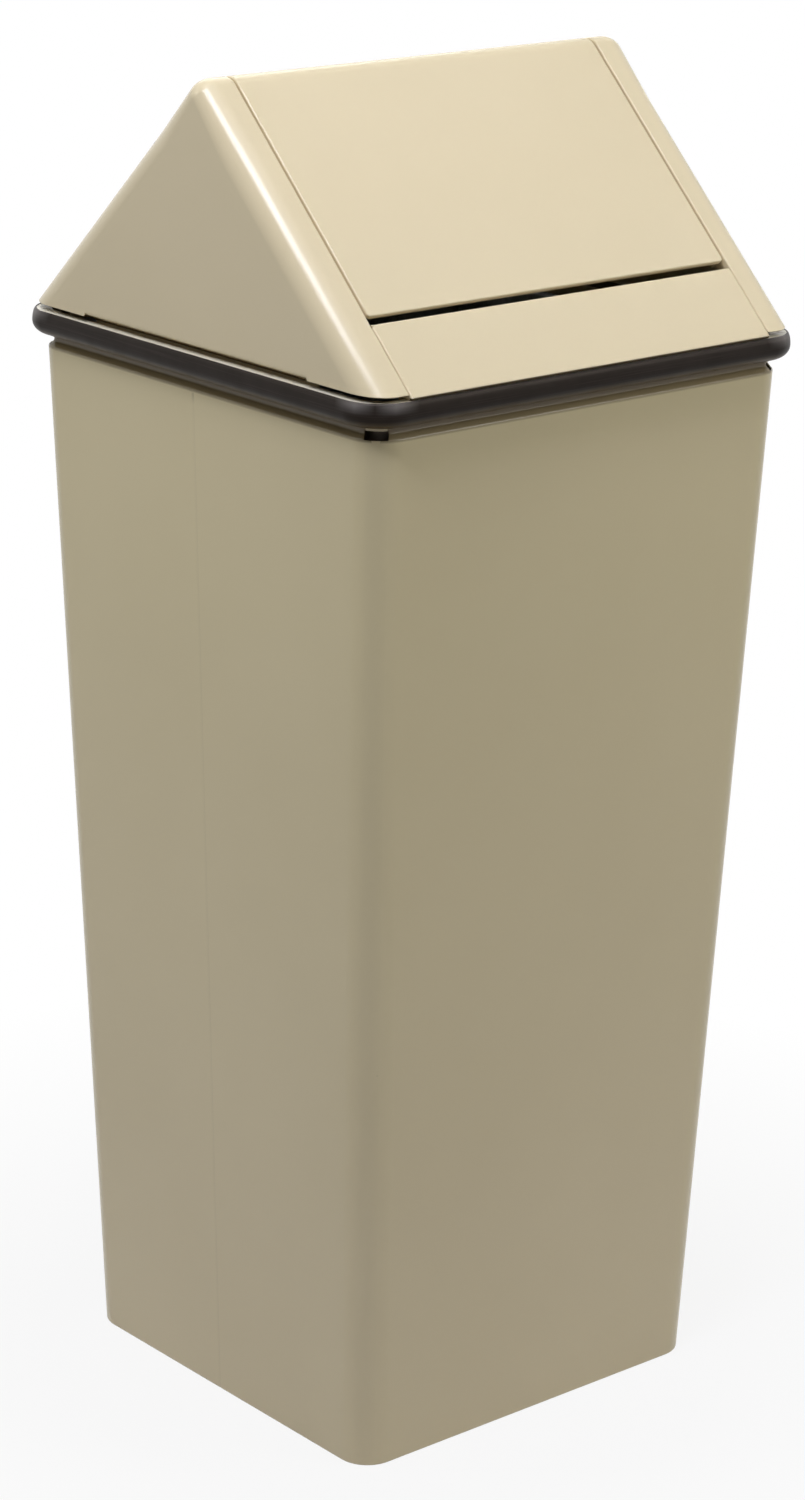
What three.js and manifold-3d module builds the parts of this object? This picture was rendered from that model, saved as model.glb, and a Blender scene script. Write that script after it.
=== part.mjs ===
// A tapered square waste receptacle of painted sheet steel with a gabled hood, a swing door on two
// end pivots, a vinyl rim bumper and a lift-out galvanised liner with two drop handles.
// Millimetres, +Z up. The origin is the centre of the base, X runs along the ridge and the door
// faces -Y. The hood and the door are the same front and rear.

import * as THREE from "three";
import { mergeVertices } from "three/addons/utils/BufferGeometryUtils.js";
import Module from "manifold-3d";

const wasm = await Module();
wasm.setup();

// ---- Driving dimensions --------------------------------------------------------------------

// Gap between pieces that touch or are fixed together
const seatGap = 0.3;

// Body wrap: one sheet, tapered, with a recessed neck and an out-turned flange
const bodySheet = 0.9;
const baseHalf = 154.7;
const wallTopHalf = 180.7;
const wallTopZ = 729;
const bodyCornerRadius = 23;
const baseLedge = 12;
const baseBend = 2;
const shoulderHeight = 4;
const shoulderBend = 3;
const neckRecess = 4.1;
const neckCornerRadius = 16;
const neckHeight = 25.2;
const flangeWidth = 11.4;
const flangeBend = 2;
const reliefWidth = 17;
const reliefHeight = 6.5;
const reliefAboveWall = 1;

// Bottom panel: lies on the base ledge, raised in the middle
const panEdgeClearance = 0.5;
const panRimWidth = 17;
const panRise = 8;
const panSlopeRun = 4;

// Rim bumper: a vinyl extrusion pushed on the flange edge
const bumperProud = 2.5;
const bumperHeight = 17.8;
const bumperWall = 2;
const bumperLip = 0.8;
const bumperLipOverlap = 0.7;
const bumperTopRun = 3.2;
const bumperUnderRun = 10;
const bumperNeckGap = 1.2;
const bumperButtGap = 0.6;

// Hood: two stamped end caps and two fascia strips
const hoodSheet = 1;
const roofAngle = THREE.MathUtils.degToRad(43.8);
const ridgeRadius = 13.1;
const footInset = 1;
const footBend = 1.6;
const gableInset = 2.4;
const capWidth = 27.8;
const seamBend = 1.5;
const capReturnDepth = 11;
const capEdgeRunRidge = 16;
const capEdgeDepthRidge = 12.6;
const capEdgeRadiusFoot = 17.8;
const capCutAboveRim = 4.1;
const tabHalfLength = 118;
const tabBendAboveCut = 3.2;
const tabUpperBend = 5;
const tabLowerBend = 3;
const tabFootAboveRim = 1;
const skirtClearance = 1.2;
const skirtDepth = 16.2;
const fasciaSlope = 59.8;
const fasciaReturnDepth = 10;
const fasciaReturnBend = 2;
const fasciaSkirtBend = 1.5;
const fasciaEndDepth = 12;

// Swing door: one folded sheet, riveted at each end to a gusset that carries the pivot pin
const doorSheet = 1;
const doorSideGap = 2.5;
const doorSlot = 5.6;
const doorLipDepth = 3.2;
const doorLipBend = 2.5;
const doorSideDepth = 12;
const doorSideBend = 1.6;
const doorSwing = THREE.MathUtils.degToRad(45);
const pivotDrop = 28;
const pinRadius = 4;
const pinRunningGap = 0.3;
const pinHeadRadius = 6.5;
const pinHeadHeight = 2;
const pinEndBeyondBush = 1.5;
const gussetSheet = 1.5;
const gussetBelowPivot = 15;
const gussetRivetSlope = 40;

// Pivot brackets: riveted behind the caps' return flanges; a bent tongue stops the door
const bracketSheet = 2;
const bracketBelowPivot = 16;
const bracketRivetSlope = 55;
const tongueDrop = 50;
const tongueReach = 2;
const stopGap = 0.5;
const bushWall = 2;
const bushFlange = 1.5;
const bushFlangeRadius = 8;
const bushBeyondBracket = 1.5;

// Rivets
const rivetRadius = 1.6;
const rivetHeadRadius = 3.2;
const rivetHeadHeight = 1;
const rivetTailHeight = 0.7;
const hoodRivetDepth = 6;

// Liner: a galvanised tub with a wired rim, standing on the bottom panel
const linerSheet = 0.8;
const linerBaseClearance = 10.8;
const linerToSkirt = 1.1;
const linerCornerRadius = 22;
const linerBottomBend = 4;
const linerRimBelowRim = 13.2;
const rimWireRadius = 2;
const curlTurn = THREE.MathUtils.degToRad(290);

// Drop handles: a wire bail in two riveted ears, inside the front and rear liner walls
const bailWireRadius = 2.5;
const bailReach = 36;
const bailHalfWidth = 44.5;
const bailEndBeyondEar = 2;
const bailEndBend = 5;
const bailGripBend = 9;
const bailPivotBelowRim = 13;
const earSheet = 1.5;
const earStandoff = 7.5;
const earBarrelWall = 1.8;
const earBarrelLength = 13;
const earWidth = 30;
const earAbovePivot = 6;
const earBelowPivot = 20;
const earRivetBelowPivot = 14;
const earRivetSpacing = 18;
const bailRunningGap = 0.3;

// Facets
const cornerSteps = 8;
const bendSteps = 3;
const ridgeSteps = 8;
const edgeSteps = 6;
const curlSteps = 8;
const bumperSteps = 3;
const rivetSides = 8;
const pinSides = 16;
const wireSides = 8;

// ---- Derived places ------------------------------------------------------------------------

const rimZ = wallTopZ + neckHeight;
const neckHalf = wallTopHalf - neckRecess;
const neckInnerHalf = neckHalf - bodySheet;
const flangeHalf = neckHalf + flangeWidth;
const bodyTaper = (wallTopHalf - baseHalf) / wallTopZ;

const footHalf = flangeHalf - footInset;
const gableHalf = footHalf - gableInset;
const seamHalf = gableHalf - capWidth;

const skirtHalf = neckInnerHalf - skirtClearance;
const skirtBottomZ = rimZ - skirtDepth;
const lipZ = rimZ + seatGap;
// The roof planes and the fascia's lip meet at a sharp corner, which the foot bend rounds off
const footCornerHalf = footHalf - footBend + footBend * Math.tan((Math.PI - roofAngle) / 2);
const apexZ = lipZ + footCornerHalf * Math.tan(roofAngle);
const roofSlope = footCornerHalf / Math.cos(roofAngle);
const ridgeCentreZ = apexZ - ridgeRadius / Math.cos(roofAngle);
const ridgeTangent = ridgeRadius * Math.tan(roofAngle);
const ridgeTopZ = ridgeCentreZ + ridgeRadius;
const capCutZ = rimZ + capCutAboveRim;
const doorHalf = seamHalf - doorSideGap;
const doorLow = roofSlope - fasciaSlope - doorSlot;
const pivotZ = ridgeTopZ - pivotDrop;

const panZ = bodySheet + seatGap;
const panTopZ = panZ + panRise + bodySheet;
const linerBottomZ = panTopZ + seatGap;
const rimBeadRadius = rimWireRadius + seatGap + linerSheet;
const linerRimZ = rimZ - linerRimBelowRim;
const linerTopHalf = skirtHalf - hoodSheet - linerToSkirt - 2 * rimBeadRadius + linerSheet;
const linerBaseHalf = baseHalf - bodySheet - linerBaseClearance;
const linerTaper = (linerTopHalf - linerBaseHalf) / (linerRimZ - linerBottomZ);
const bailPivotZ = linerRimZ - bailPivotBelowRim;

// ---- Finishes ------------------------------------------------------------------------------

const almondPaint = { color: 0xcfc4a6, roughness: 0.38, metalness: 0 };
const blackVinyl = { color: 0x2a2523, roughness: 0.5, metalness: 0 };
const galvanised = { color: 0x9ba0a3, roughness: 0.45, metalness: 0.85 };
const zincPlate = { color: 0xb9bcbd, roughness: 0.35, metalness: 0.9 };
const whiteNylon = { color: 0xe6e3d8, roughness: 0.5, metalness: 0 };

// ---- Shape helpers -------------------------------------------------------------------------

// A closed geometry as a solid with its faces pointing out
function solidOf(geometry) {
  const bare = geometry.index ? geometry.clone() : geometry;
  bare.deleteAttribute("normal");
  bare.deleteAttribute("uv");
  const merged = mergeVertices(bare, 1e-4);
  const corners = merged.index.array;
  const faces = [];
  for (let i = 0; i < corners.length; i += 3) {
    const [a, b, c] = [corners[i], corners[i + 1], corners[i + 2]];
    if (a !== b && b !== c && c !== a) faces.push(a, b, c);
  }
  const made = meshSolid(merged.attributes.position.array, faces);
  if (made.volume() > 0) return made;
  return meshSolid(merged.attributes.position.array, faces.reverse());
}

function meshSolid(positions, faces) {
  const mesh = new wasm.Mesh({
    numProp: 3,
    vertProperties: new Float32Array(positions),
    triVerts: new Uint32Array(faces),
  });
  return new wasm.Manifold(mesh);
}

function geometryOf(solid) {
  const mesh = solid.getMesh();
  const geometry = new THREE.BufferGeometry();
  geometry.setAttribute("position", new THREE.BufferAttribute(mesh.vertProperties, 3));
  geometry.setIndex(new THREE.BufferAttribute(mesh.triVerts, 1));
  const faceted = geometry.toNonIndexed();
  faceted.computeVertexNormals();
  return faceted;
}

const join = (first, ...rest) => rest.reduce((whole, piece) => whole.add(piece), first);
const cut = (first, ...rest) => rest.reduce((whole, piece) => whole.subtract(piece), first);

function block([x0, x1], [y0, y1], [z0, z1]) {
  const box = new THREE.BoxGeometry(x1 - x0, y1 - y0, z1 - z0);
  box.translate((x0 + x1) / 2, (y0 + y1) / 2, (z0 + z1) / 2);
  return solidOf(box);
}

// Triangles that fill one flat ring of points, turning the same way as the ring
function fillRing(ring) {
  const normal = new THREE.Vector3();
  ring.forEach((point, i) => {
    const next = ring[(i + 1) % ring.length];
    normal.x += (point.y - next.y) * (point.z + next.z);
    normal.y += (point.z - next.z) * (point.x + next.x);
    normal.z += (point.x - next.x) * (point.y + next.y);
  });
  const size = [Math.abs(normal.x), Math.abs(normal.y), Math.abs(normal.z)];
  const dropped = size.indexOf(Math.max(...size));
  const flat = ring.map((point) => {
    const kept = [point.x, point.y, point.z].filter((value, axis) => axis !== dropped);
    return new THREE.Vector2(...kept);
  });
  const turn = Math.sign(THREE.ShapeUtils.area(flat));
  return THREE.ShapeUtils.triangulateShape(flat, []).map((face) => {
    const same = Math.sign(THREE.ShapeUtils.area(face.map((i) => flat[i]))) === turn;
    return same ? face : [...face].reverse();
  });
}

// A skin through rings of equal size, closed by flat ends or back to its first ring
function loft(rings, endless = false) {
  const size = rings[0].length;
  const faces = [];
  const spans = endless ? rings.length : rings.length - 1;
  for (let r = 0; r < spans; r++) {
    const here = r * size;
    const there = ((r + 1) % rings.length) * size;
    for (let i = 0; i < size; i++) {
      const j = (i + 1) % size;
      faces.push(here + i, here + j, there + j);
      faces.push(here + i, there + j, there + i);
    }
  }
  if (!endless) {
    const last = (rings.length - 1) * size;
    fillRing(rings[0]).forEach(([a, b, c]) => faces.push(c, b, a));
    fillRing(rings[rings.length - 1]).forEach(([a, b, c]) => faces.push(last + a, last + b, last + c));
  }
  const geometry = new THREE.BufferGeometry();
  const positions = rings.flat().flatMap((point) => point.toArray());
  geometry.setAttribute("position", new THREE.Float32BufferAttribute(positions, 3));
  geometry.setIndex(faces);
  return solidOf(geometry);
}

// The outline of a folded sheet. Each point is [u, v, bend radius]; the sheet lies on the left of
// the drawn side, and each bend keeps one centre for both of its faces.
function foldedSheet(points, thickness, steps = bendSteps) {
  const drawn = [];
  const offset = [];
  const last = points.length - 1;
  points.forEach(([u, v, radius], i) => {
    const here = new THREE.Vector2(u, v);
    const before = i > 0 ? here.clone().sub(new THREE.Vector2(...points[i - 1])).normalize() : null;
    const after = i < last ? new THREE.Vector2(...points[i + 1]).sub(here).normalize() : null;
    if (!before || !after) {
      const along = before || after;
      drawn.push(here);
      offset.push(new THREE.Vector2(u - along.y * thickness, v + along.x * thickness));
      return;
    }
    const turn = Math.atan2(before.cross(after), before.dot(after));
    const side = Math.sign(turn);
    const start = here.clone().addScaledVector(before, -radius * Math.tan(Math.abs(turn) / 2));
    const left = new THREE.Vector2(-before.y, before.x);
    const centre = start.clone().addScaledVector(left, side * radius);
    const spoke = start.clone().sub(centre).normalize();
    for (let k = 0; k <= steps; k++) {
      const ray = spoke.clone().rotateAround(new THREE.Vector2(), (turn * k) / steps);
      drawn.push(centre.clone().addScaledVector(ray, radius));
      offset.push(centre.clone().addScaledVector(ray, radius - side * thickness));
    }
  });
  return [...drawn, ...offset.reverse()];
}

// An outline drawn in Y and Z, extruded along X
function extrudeX(outline, x0, x1) {
  const geometry = new THREE.ExtrudeGeometry(new THREE.Shape(outline), {
    depth: x1 - x0,
    bevelEnabled: false,
  });
  const turned = new THREE.Matrix4().makeBasis(
    new THREE.Vector3(0, 1, 0),
    new THREE.Vector3(0, 0, 1),
    new THREE.Vector3(1, 0, 0),
  );
  geometry.applyMatrix4(turned);
  geometry.translate(x0, 0, 0);
  return solidOf(geometry);
}

// An outline drawn in X and Z, extruded along Y
function extrudeY(outline, y0, y1) {
  const geometry = new THREE.ExtrudeGeometry(new THREE.Shape(outline), {
    depth: y1 - y0,
    bevelEnabled: false,
  });
  geometry.rotateX(Math.PI / 2);
  geometry.translate(0, y1, 0);
  return solidOf(geometry);
}

// A profile of [radius, distance along the axis], revolved about a line parallel to X
function revolveX(profile, sides, y = 0, z = 0) {
  const points = profile.map(([radius, along]) => new THREE.Vector2(radius, along));
  const geometry = new THREE.LatheGeometry([...points, points[0]], sides);
  geometry.rotateZ(-Math.PI / 2);
  geometry.translate(0, y, z);
  return solidOf(geometry);
}

const drillX = (radius, x0, x1, y, z, sides) =>
  revolveX([[0, x0], [radius, x0], [radius, x1], [0, x1]], sides, y, z);

// A round rod along a bent line in a plane of constant y
function rodInPlane(line, radius, sides) {
  const rings = line.map((point, i) => {
    const before = line[Math.max(i - 1, 0)];
    const after = line[Math.min(i + 1, line.length - 1)];
    const inward = point.clone().sub(before).normalize();
    const outward = after.clone().sub(point).normalize();
    const along = inward.clone().add(outward).normalize();
    const across = new THREE.Vector2(-along.y, along.x);
    const ends = i === 0 || i === line.length - 1;
    const stretch = ends ? 1 : 1 / across.dot(new THREE.Vector2(-outward.y, outward.x));
    return Array.from({ length: sides }, (unused, k) => {
      const angle = (2 * Math.PI * (k + 0.5)) / sides;
      const reach = radius * stretch * Math.cos(angle);
      return new THREE.Vector3(
        point.x + across.x * reach,
        radius * Math.sin(angle),
        point.y + across.y * reach,
      );
    });
  });
  return loft(rings);
}

// A polyline in a plane with its corners rounded; each point is [u, v, bend radius]
function roundedLine(points, steps) {
  return foldedSheet(points, 1, steps).slice(0, (points.length - 2) * (steps + 1) + 2);
}

const mirrorX = (solid) => solid.mirror([1, 0, 0]);

function piece(name, solid, finish) {
  const mesh = new THREE.Mesh(geometryOf(solid), new THREE.MeshStandardMaterial(finish));
  mesh.name = name;
  return mesh;
}

// ---- Rounded square rings ------------------------------------------------------------------

// One level of a square tube: the corners are arcs about centres at (centre, centre)
function squareRing(half, centre, z) {
  const ring = [];
  const signs = [[1, 1], [-1, 1], [-1, -1], [1, -1]];
  signs.forEach(([signX, signY], corner) => {
    for (let k = 0; k <= cornerSteps; k++) {
      const angle = ((corner + k / cornerSteps) * Math.PI) / 2;
      const x = signX * centre + (half - centre) * Math.cos(angle);
      const y = signY * centre + (half - centre) * Math.sin(angle);
      ring.push(new THREE.Vector3(x, y, z));
    }
  });
  return ring;
}

// How far the body's corner arcs' centres lie from the axis at a height
function bodyCentre(z) {
  const wallCentre = baseHalf - bodyCornerRadius + bodyTaper * Math.min(z, wallTopZ);
  const neckCentre = neckHalf - neckCornerRadius;
  const share = THREE.MathUtils.clamp((z - wallTopZ) / shoulderHeight, 0, 1);
  return THREE.MathUtils.lerp(wallCentre, neckCentre, share);
}

// A tube whose wall section is drawn as half widths and heights
const squareTube = (section, centreAt) =>
  loft(section.map((point) => squareRing(point.x, centreAt(point.y), point.y)), true);

// ---- Receptacle body -----------------------------------------------------------------------

// The wrap's section runs from the base ledge up the wall, in over the shoulder and out along the
// flange. The neck's corners are open windows, where the sheet can't be drawn in.
function bodyShell() {
  const section = foldedSheet(
    [
      [baseHalf - baseLedge, 0, 0],
      [baseHalf, 0, baseBend],
      [wallTopHalf, wallTopZ, shoulderBend],
      [neckHalf, wallTopZ + shoulderHeight, shoulderBend],
      [neckHalf, rimZ - bodySheet, flangeBend],
      [flangeHalf, rimZ - bodySheet, 0],
    ],
    bodySheet,
  );
  const windowZ = wallTopZ + reliefAboveWall;
  const windows = [0, 1, 2, 3].map((quarter) => {
    const opening = new THREE.BoxGeometry(reliefWidth, 4 * bodyCornerRadius, reliefHeight);
    const cornerReach = bodyCentre(windowZ) * Math.SQRT2 + bodyCornerRadius;
    opening.translate(0, cornerReach, windowZ + reliefHeight / 2);
    opening.rotateZ(((quarter + 0.5) * Math.PI) / 2);
    return solidOf(opening);
  });
  return cut(squareTube(section, bodyCentre), ...windows);
}

// The bottom panel lies on the ledge and is pressed up in the middle to carry the liner
function bottomPan() {
  const edge = baseHalf - bodySheet - panEdgeClearance;
  const rim = edge - panRimWidth;
  const middle = rim - panSlopeRun;
  const levels = [
    [middle, panZ + panRise],
    [rim, panZ],
    [edge, panZ],
    [edge, panZ + bodySheet],
    [rim, panZ + bodySheet],
    [middle, panZ + panRise + bodySheet],
  ];
  const centre = baseHalf - bodyCornerRadius;
  return loft(levels.map(([half, z]) => squareRing(half, Math.min(centre, half - bodySheet), z)));
}

// The bumper is a bulging channel: a thin lip over the flange edge, a round outer wall and an
// underside that runs back to the neck. Its ends butt at the middle of the rear side.
function rimBumper() {
  const outerHalf = flangeHalf + bumperProud;
  const topZ = rimZ + seatGap + bumperLip;
  const lowZ = topZ - bumperHeight;
  const bulgeZ = (topZ + lowZ) / 2;
  const lipHalf = outerHalf - bumperTopRun;
  const underHalf = outerHalf - bumperUnderRun;
  const neckEdge = neckHalf + bumperNeckGap;
  const wall = bumperWall;
  const outline = new THREE.Path();
  outline.moveTo(flangeHalf - bumperLipOverlap, topZ);
  outline.lineTo(lipHalf, topZ);
  outline.absellipse(lipHalf, bulgeZ, bumperTopRun, topZ - bulgeZ, Math.PI / 2, 0, true);
  outline.absellipse(underHalf, bulgeZ, bumperUnderRun, bulgeZ - lowZ, 0, -Math.PI / 2, true);
  outline.lineTo(neckEdge, lowZ);
  outline.lineTo(neckEdge, lowZ + wall);
  outline.lineTo(underHalf, lowZ + wall);
  outline.absellipse(underHalf, bulgeZ, bumperUnderRun - wall, bulgeZ - lowZ - wall, -Math.PI / 2, 0, false);
  outline.lineTo(outerHalf - wall, rimZ + seatGap);
  outline.lineTo(flangeHalf - bumperLipOverlap, rimZ + seatGap);
  const section = outline.getPoints(bumperSteps).filter((point, i, all) => {
    const previous = all[(i + all.length - 1) % all.length];
    return point.distanceTo(previous) > 1e-6;
  });
  const ring = squareTube(section, () => neckHalf - neckCornerRadius);
  const butt = block(
    [-bumperButtGap / 2, bumperButtGap / 2],
    [neckHalf, outerHalf + 1],
    [lowZ - 1, topZ + 1],
  );
  return cut(ring, butt);
}

// ---- Roof geometry -------------------------------------------------------------------------

// Stations along the gable outline, from the front foot over the ridge to the rear foot. Each has
// its outer point, its outward normal and its distance down the slope from the ridge's tangent.
function roofStations(slopeLength) {
  const stations = [];
  for (let k = 0; k <= ridgeSteps; k++) {
    const lean = roofAngle * (1 - (2 * k) / ridgeSteps);
    const normal = new THREE.Vector2(-Math.sin(lean), Math.cos(lean));
    const point = new THREE.Vector2(0, ridgeCentreZ).addScaledVector(normal, ridgeRadius);
    stations.push({ point, normal, down: 0 });
  }
  const reach = slopeLength - ridgeTangent;
  const footOf = ({ point, normal }, side) => {
    const along = new THREE.Vector2(side * Math.cos(roofAngle), -Math.sin(roofAngle));
    return { point: point.clone().addScaledVector(along, reach), normal, down: reach };
  };
  return [footOf(stations[0], -1), ...stations, footOf(stations[ridgeSteps], 1)];
}

// A ring across the roof: every station is moved in by its depth and placed at its x
const roofRing = (stations, xAt, depthAt) =>
  stations.map((station) => {
    const inner = station.point.clone().addScaledVector(station.normal, -depthAt(station));
    return new THREE.Vector3(xAt(station), inner.x, inner.y);
  });

// A point on the roof, down the slope from the sharp apex and in from the outer face
const roofPoint = (slope, depth, side) =>
  new THREE.Vector2(
    side * (slope * Math.cos(roofAngle) - depth * Math.sin(roofAngle)),
    apexZ - slope * Math.sin(roofAngle) - depth * Math.cos(roofAngle),
  );

// A gabled prism that fills the roof below a depth
const roofPrism = (depth, x0, x1, slopeLength) =>
  loft([x0, x1].map((x) => roofRing(roofStations(slopeLength), () => x, () => depth)));

// A plate that fills the top of the roof, from its inner face down to a level edge
function plateUnderRoof(depth, x0, x1, lowZ) {
  const below = block([x0 - 1, x1 + 1], [-footCornerHalf, footCornerHalf], [0, lowZ]);
  return cut(roofPrism(depth, x0, x1, roofSlope), below);
}

// ---- Hood ----------------------------------------------------------------------------------

// The stamped end cap. Its rolled edge is a quarter ellipse at the ridge and grows to a quarter
// circle at the foot, so the gable face has a tight apex and broad lower corners. The outer and
// inner skins share the centres of that edge.
function endCap() {
  const stations = roofStations(roofSlope);
  const footDistance = roofSlope - ridgeTangent;
  const fromRidge = (atRidge, { down }) =>
    THREE.MathUtils.lerp(atRidge, capEdgeRadiusFoot, down / footDistance);
  const skin = (inset) => {
    const rings = [];
    for (let k = 0; k <= bendSteps; k++) {
      const angle = (k / bendSteps) * (Math.PI / 2);
      const x = seamHalf + seamBend - (seamBend - inset) * Math.cos(angle);
      const depth = seamBend - (seamBend - inset) * Math.sin(angle);
      rings.push(roofRing(stations, () => x, () => depth));
    }
    for (let k = 0; k <= edgeSteps; k++) {
      const angle = (k / edgeSteps) * (Math.PI / 2);
      const xAt = (station) => {
        const run = fromRidge(capEdgeRunRidge, station);
        return gableHalf - run + (run - inset) * Math.sin(angle);
      };
      const depthAt = (station) => {
        const depth = fromRidge(capEdgeDepthRidge, station);
        return depth - (depth - inset) * Math.cos(angle);
      };
      rings.push(roofRing(stations, xAt, depthAt));
    }
    return loft(rings);
  };
  const returnX = [seamHalf - 1, seamHalf + hoodSheet + 1];
  const seamOpening = roofPrism(capReturnDepth, ...returnX, roofSlope + capReturnDepth);
  const bendZ = capCutZ + tabBendAboveCut;
  const tabTopZ = bendZ + tabUpperBend;
  const below = skirtBottomZ - 1;
  const wide = footCornerHalf + 1;
  const corners = block([0, gableHalf + 1], [-wide, wide], [below, capCutZ]);
  const tabY = [-tabHalfLength, tabHalfLength];
  const middle = block([gableHalf - hoodSheet - 1, gableHalf + 1], tabY, [below, tabTopZ]);
  const tab = foldedSheet(
    [
      [skirtHalf, skirtBottomZ, 0],
      [skirtHalf, rimZ + tabFootAboveRim, tabLowerBend],
      [gableHalf, bendZ, tabUpperBend],
      [gableHalf, tabTopZ + hoodSheet, 0],
    ],
    hoodSheet,
  );
  const shell = cut(skin(0), skin(hoodSheet), seamOpening, corners, middle);
  const whole = join(shell, extrudeY(tab, ...tabY));
  return cut(whole, ...rivetHoles(bracketRivetSlope, ...returnX));
}

const rivetSpots = (slope) => [-1, 1].map((side) => roofPoint(slope, hoodRivetDepth, side));

const rivetHoles = (slope, x0, x1) =>
  rivetSpots(slope).map((spot) => drillX(rivetRadius + seatGap, x0, x1, spot.x, spot.y, rivetSides));

// A fascia strip: a return along the door slot, the sloped face, a lip that rests on the rim
// flange and a skirt that locates the hood inside the neck. Its ends turn in beside the caps.
function fascia() {
  const top = roofSlope - fasciaSlope;
  const tip = roofPoint(top, fasciaReturnDepth, -1);
  const edge = roofPoint(top, 0, -1);
  const section = foldedSheet(
    [
      [tip.x, tip.y, 0],
      [edge.x, edge.y, fasciaReturnBend],
      [-footCornerHalf, lipZ, footBend],
      [-skirtHalf, lipZ, fasciaSkirtBend],
      [-skirtHalf, skirtBottomZ, 0],
    ],
    hoodSheet,
  );
  const end = seamHalf - seatGap;
  const strip = extrudeX(section, -end, end);
  const inside = hoodSheet / 2;
  const low = roofSlope - 2 * fasciaEndDepth;
  const flange = [
    roofPoint(top + fasciaReturnBend, inside, -1),
    roofPoint(low, inside, -1),
    roofPoint(low, fasciaEndDepth, -1),
    roofPoint(top + fasciaReturnBend, fasciaEndDepth, -1),
  ];
  return join(strip, extrudeX(flange, end - hoodSheet, end), extrudeX(flange, -end, hoodSheet - end));
}

// The bracket hangs behind the cap's return flange. It holds the bush, and its tongue turns in
// under the pivot, where the door's side flange strikes it at the end of the swing.
function pivotBracket() {
  const x0 = seamHalf + hoodSheet + seatGap;
  const x1 = x0 + bracketSheet;
  const plate = plateUnderRoof(hoodSheet + seatGap, x0, x1, pivotZ - bracketBelowPivot);
  const low = pivotZ - tongueDrop;
  const half = tongueHalfWidth(tongueDrop - bracketSheet / 2);
  const tongue = block([x0, x1], [-half, half], [low, pivotZ - bracketBelowPivot + 1]);
  const stopX = doorHalf - doorSheet - tongueReach;
  const stop = block([stopX, x1], [-half, half], [low, low + bracketSheet]);
  const holeRadius = pinRadius + pinRunningGap + bushWall + seatGap;
  const bushHole = drillX(holeRadius, x0 - 1, x1 + 1, 0, pivotZ, pinSides);
  const whole = join(plate, tongue, stop);
  return cut(whole, bushHole, ...rivetHoles(bracketRivetSlope, x0 - 1, x1 + 1));
}

// Half the tongue's width, so that the door's side flange meets it at the end of the swing
function tongueHalfWidth(drop) {
  const flangeEdge = (apexZ - pivotZ) * Math.cos(roofAngle) - doorSideDepth;
  const panelAngle = roofAngle + doorSwing;
  return (flangeEdge + drop * Math.cos(panelAngle)) / Math.sin(panelAngle) - stopGap;
}

function pivotBush() {
  const bore = pinRadius + pinRunningGap;
  const barrel = bore + bushWall;
  const flangeX = seamHalf + hoodSheet;
  const profile = [
    [bore, flangeX - bushFlange],
    [bushFlangeRadius, flangeX - bushFlange],
    [bushFlangeRadius, flangeX],
    [barrel, flangeX],
    [barrel, flangeX + seatGap + bracketSheet + bushBeyondBracket],
    [bore, flangeX + seatGap + bracketSheet + bushBeyondBracket],
  ];
  return revolveX(profile, pinSides, 0, pivotZ);
}

// ---- Swing door ----------------------------------------------------------------------------

// The door is one sheet over the ridge. Its lower edges turn in as lips and its sides turn in as
// flanges, which follow the ridge.
function doorPanel() {
  const lipTip = (side) => roofPoint(doorLow, doorLipDepth, side);
  const edge = (side) => roofPoint(doorLow, 0, side);
  const section = foldedSheet(
    [
      [lipTip(1).x, lipTip(1).y, 0],
      [edge(1).x, edge(1).y, doorLipBend],
      [0, apexZ, ridgeRadius],
      [edge(-1).x, edge(-1).y, doorLipBend],
      [lipTip(-1).x, lipTip(-1).y, 0],
    ],
    doorSheet,
    ridgeSteps,
  );
  const flat = doorHalf - doorSideBend;
  const skin = extrudeX(section, -flat, flat);
  const side = doorSideFlange();
  return join(skin, side, mirrorX(side));
}

// One side of the door: the rounded edge and the flange, carried along the roof outline
function doorSideFlange() {
  const stations = roofStations(doorLow - doorLipBend);
  const centre = doorHalf - doorSideBend;
  const outline = [];
  for (let k = 0; k <= bendSteps; k++) {
    const angle = (k / bendSteps) * (Math.PI / 2);
    outline.push([centre + doorSideBend * Math.sin(angle), doorSideBend * (1 - Math.cos(angle))]);
  }
  outline.push([doorHalf, doorSideDepth], [doorHalf - doorSheet, doorSideDepth]);
  for (let k = bendSteps; k >= 0; k--) {
    const angle = (k / bendSteps) * (Math.PI / 2);
    const inner = doorSideBend - doorSheet;
    outline.push([centre + inner * Math.sin(angle), doorSideBend - inner * Math.cos(angle)]);
  }
  outline.push([centre - doorSheet, doorSheet], [centre - doorSheet, 0]);
  const rings = stations.map(({ point, normal }) =>
    outline.map(([x, depth]) => {
      const moved = point.clone().addScaledVector(normal, -depth);
      return new THREE.Vector3(x, moved.x, moved.y);
    }),
  );
  return cut(loft(rings), ...rivetHoles(gussetRivetSlope, doorHalf - 2 * doorSheet, doorHalf + 1));
}

const gussetX1 = doorHalf - doorSheet - seatGap;
const gussetX0 = gussetX1 - gussetSheet;

function doorGusset() {
  const plate = plateUnderRoof(doorSheet + seatGap, gussetX0, gussetX1, pivotZ - gussetBelowPivot);
  const pinHole = drillX(pinRadius + seatGap, gussetX0 - 1, gussetX1 + 1, 0, pivotZ, pinSides);
  return cut(plate, pinHole, ...rivetHoles(gussetRivetSlope, gussetX0 - 1, gussetX1 + 1));
}

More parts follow.
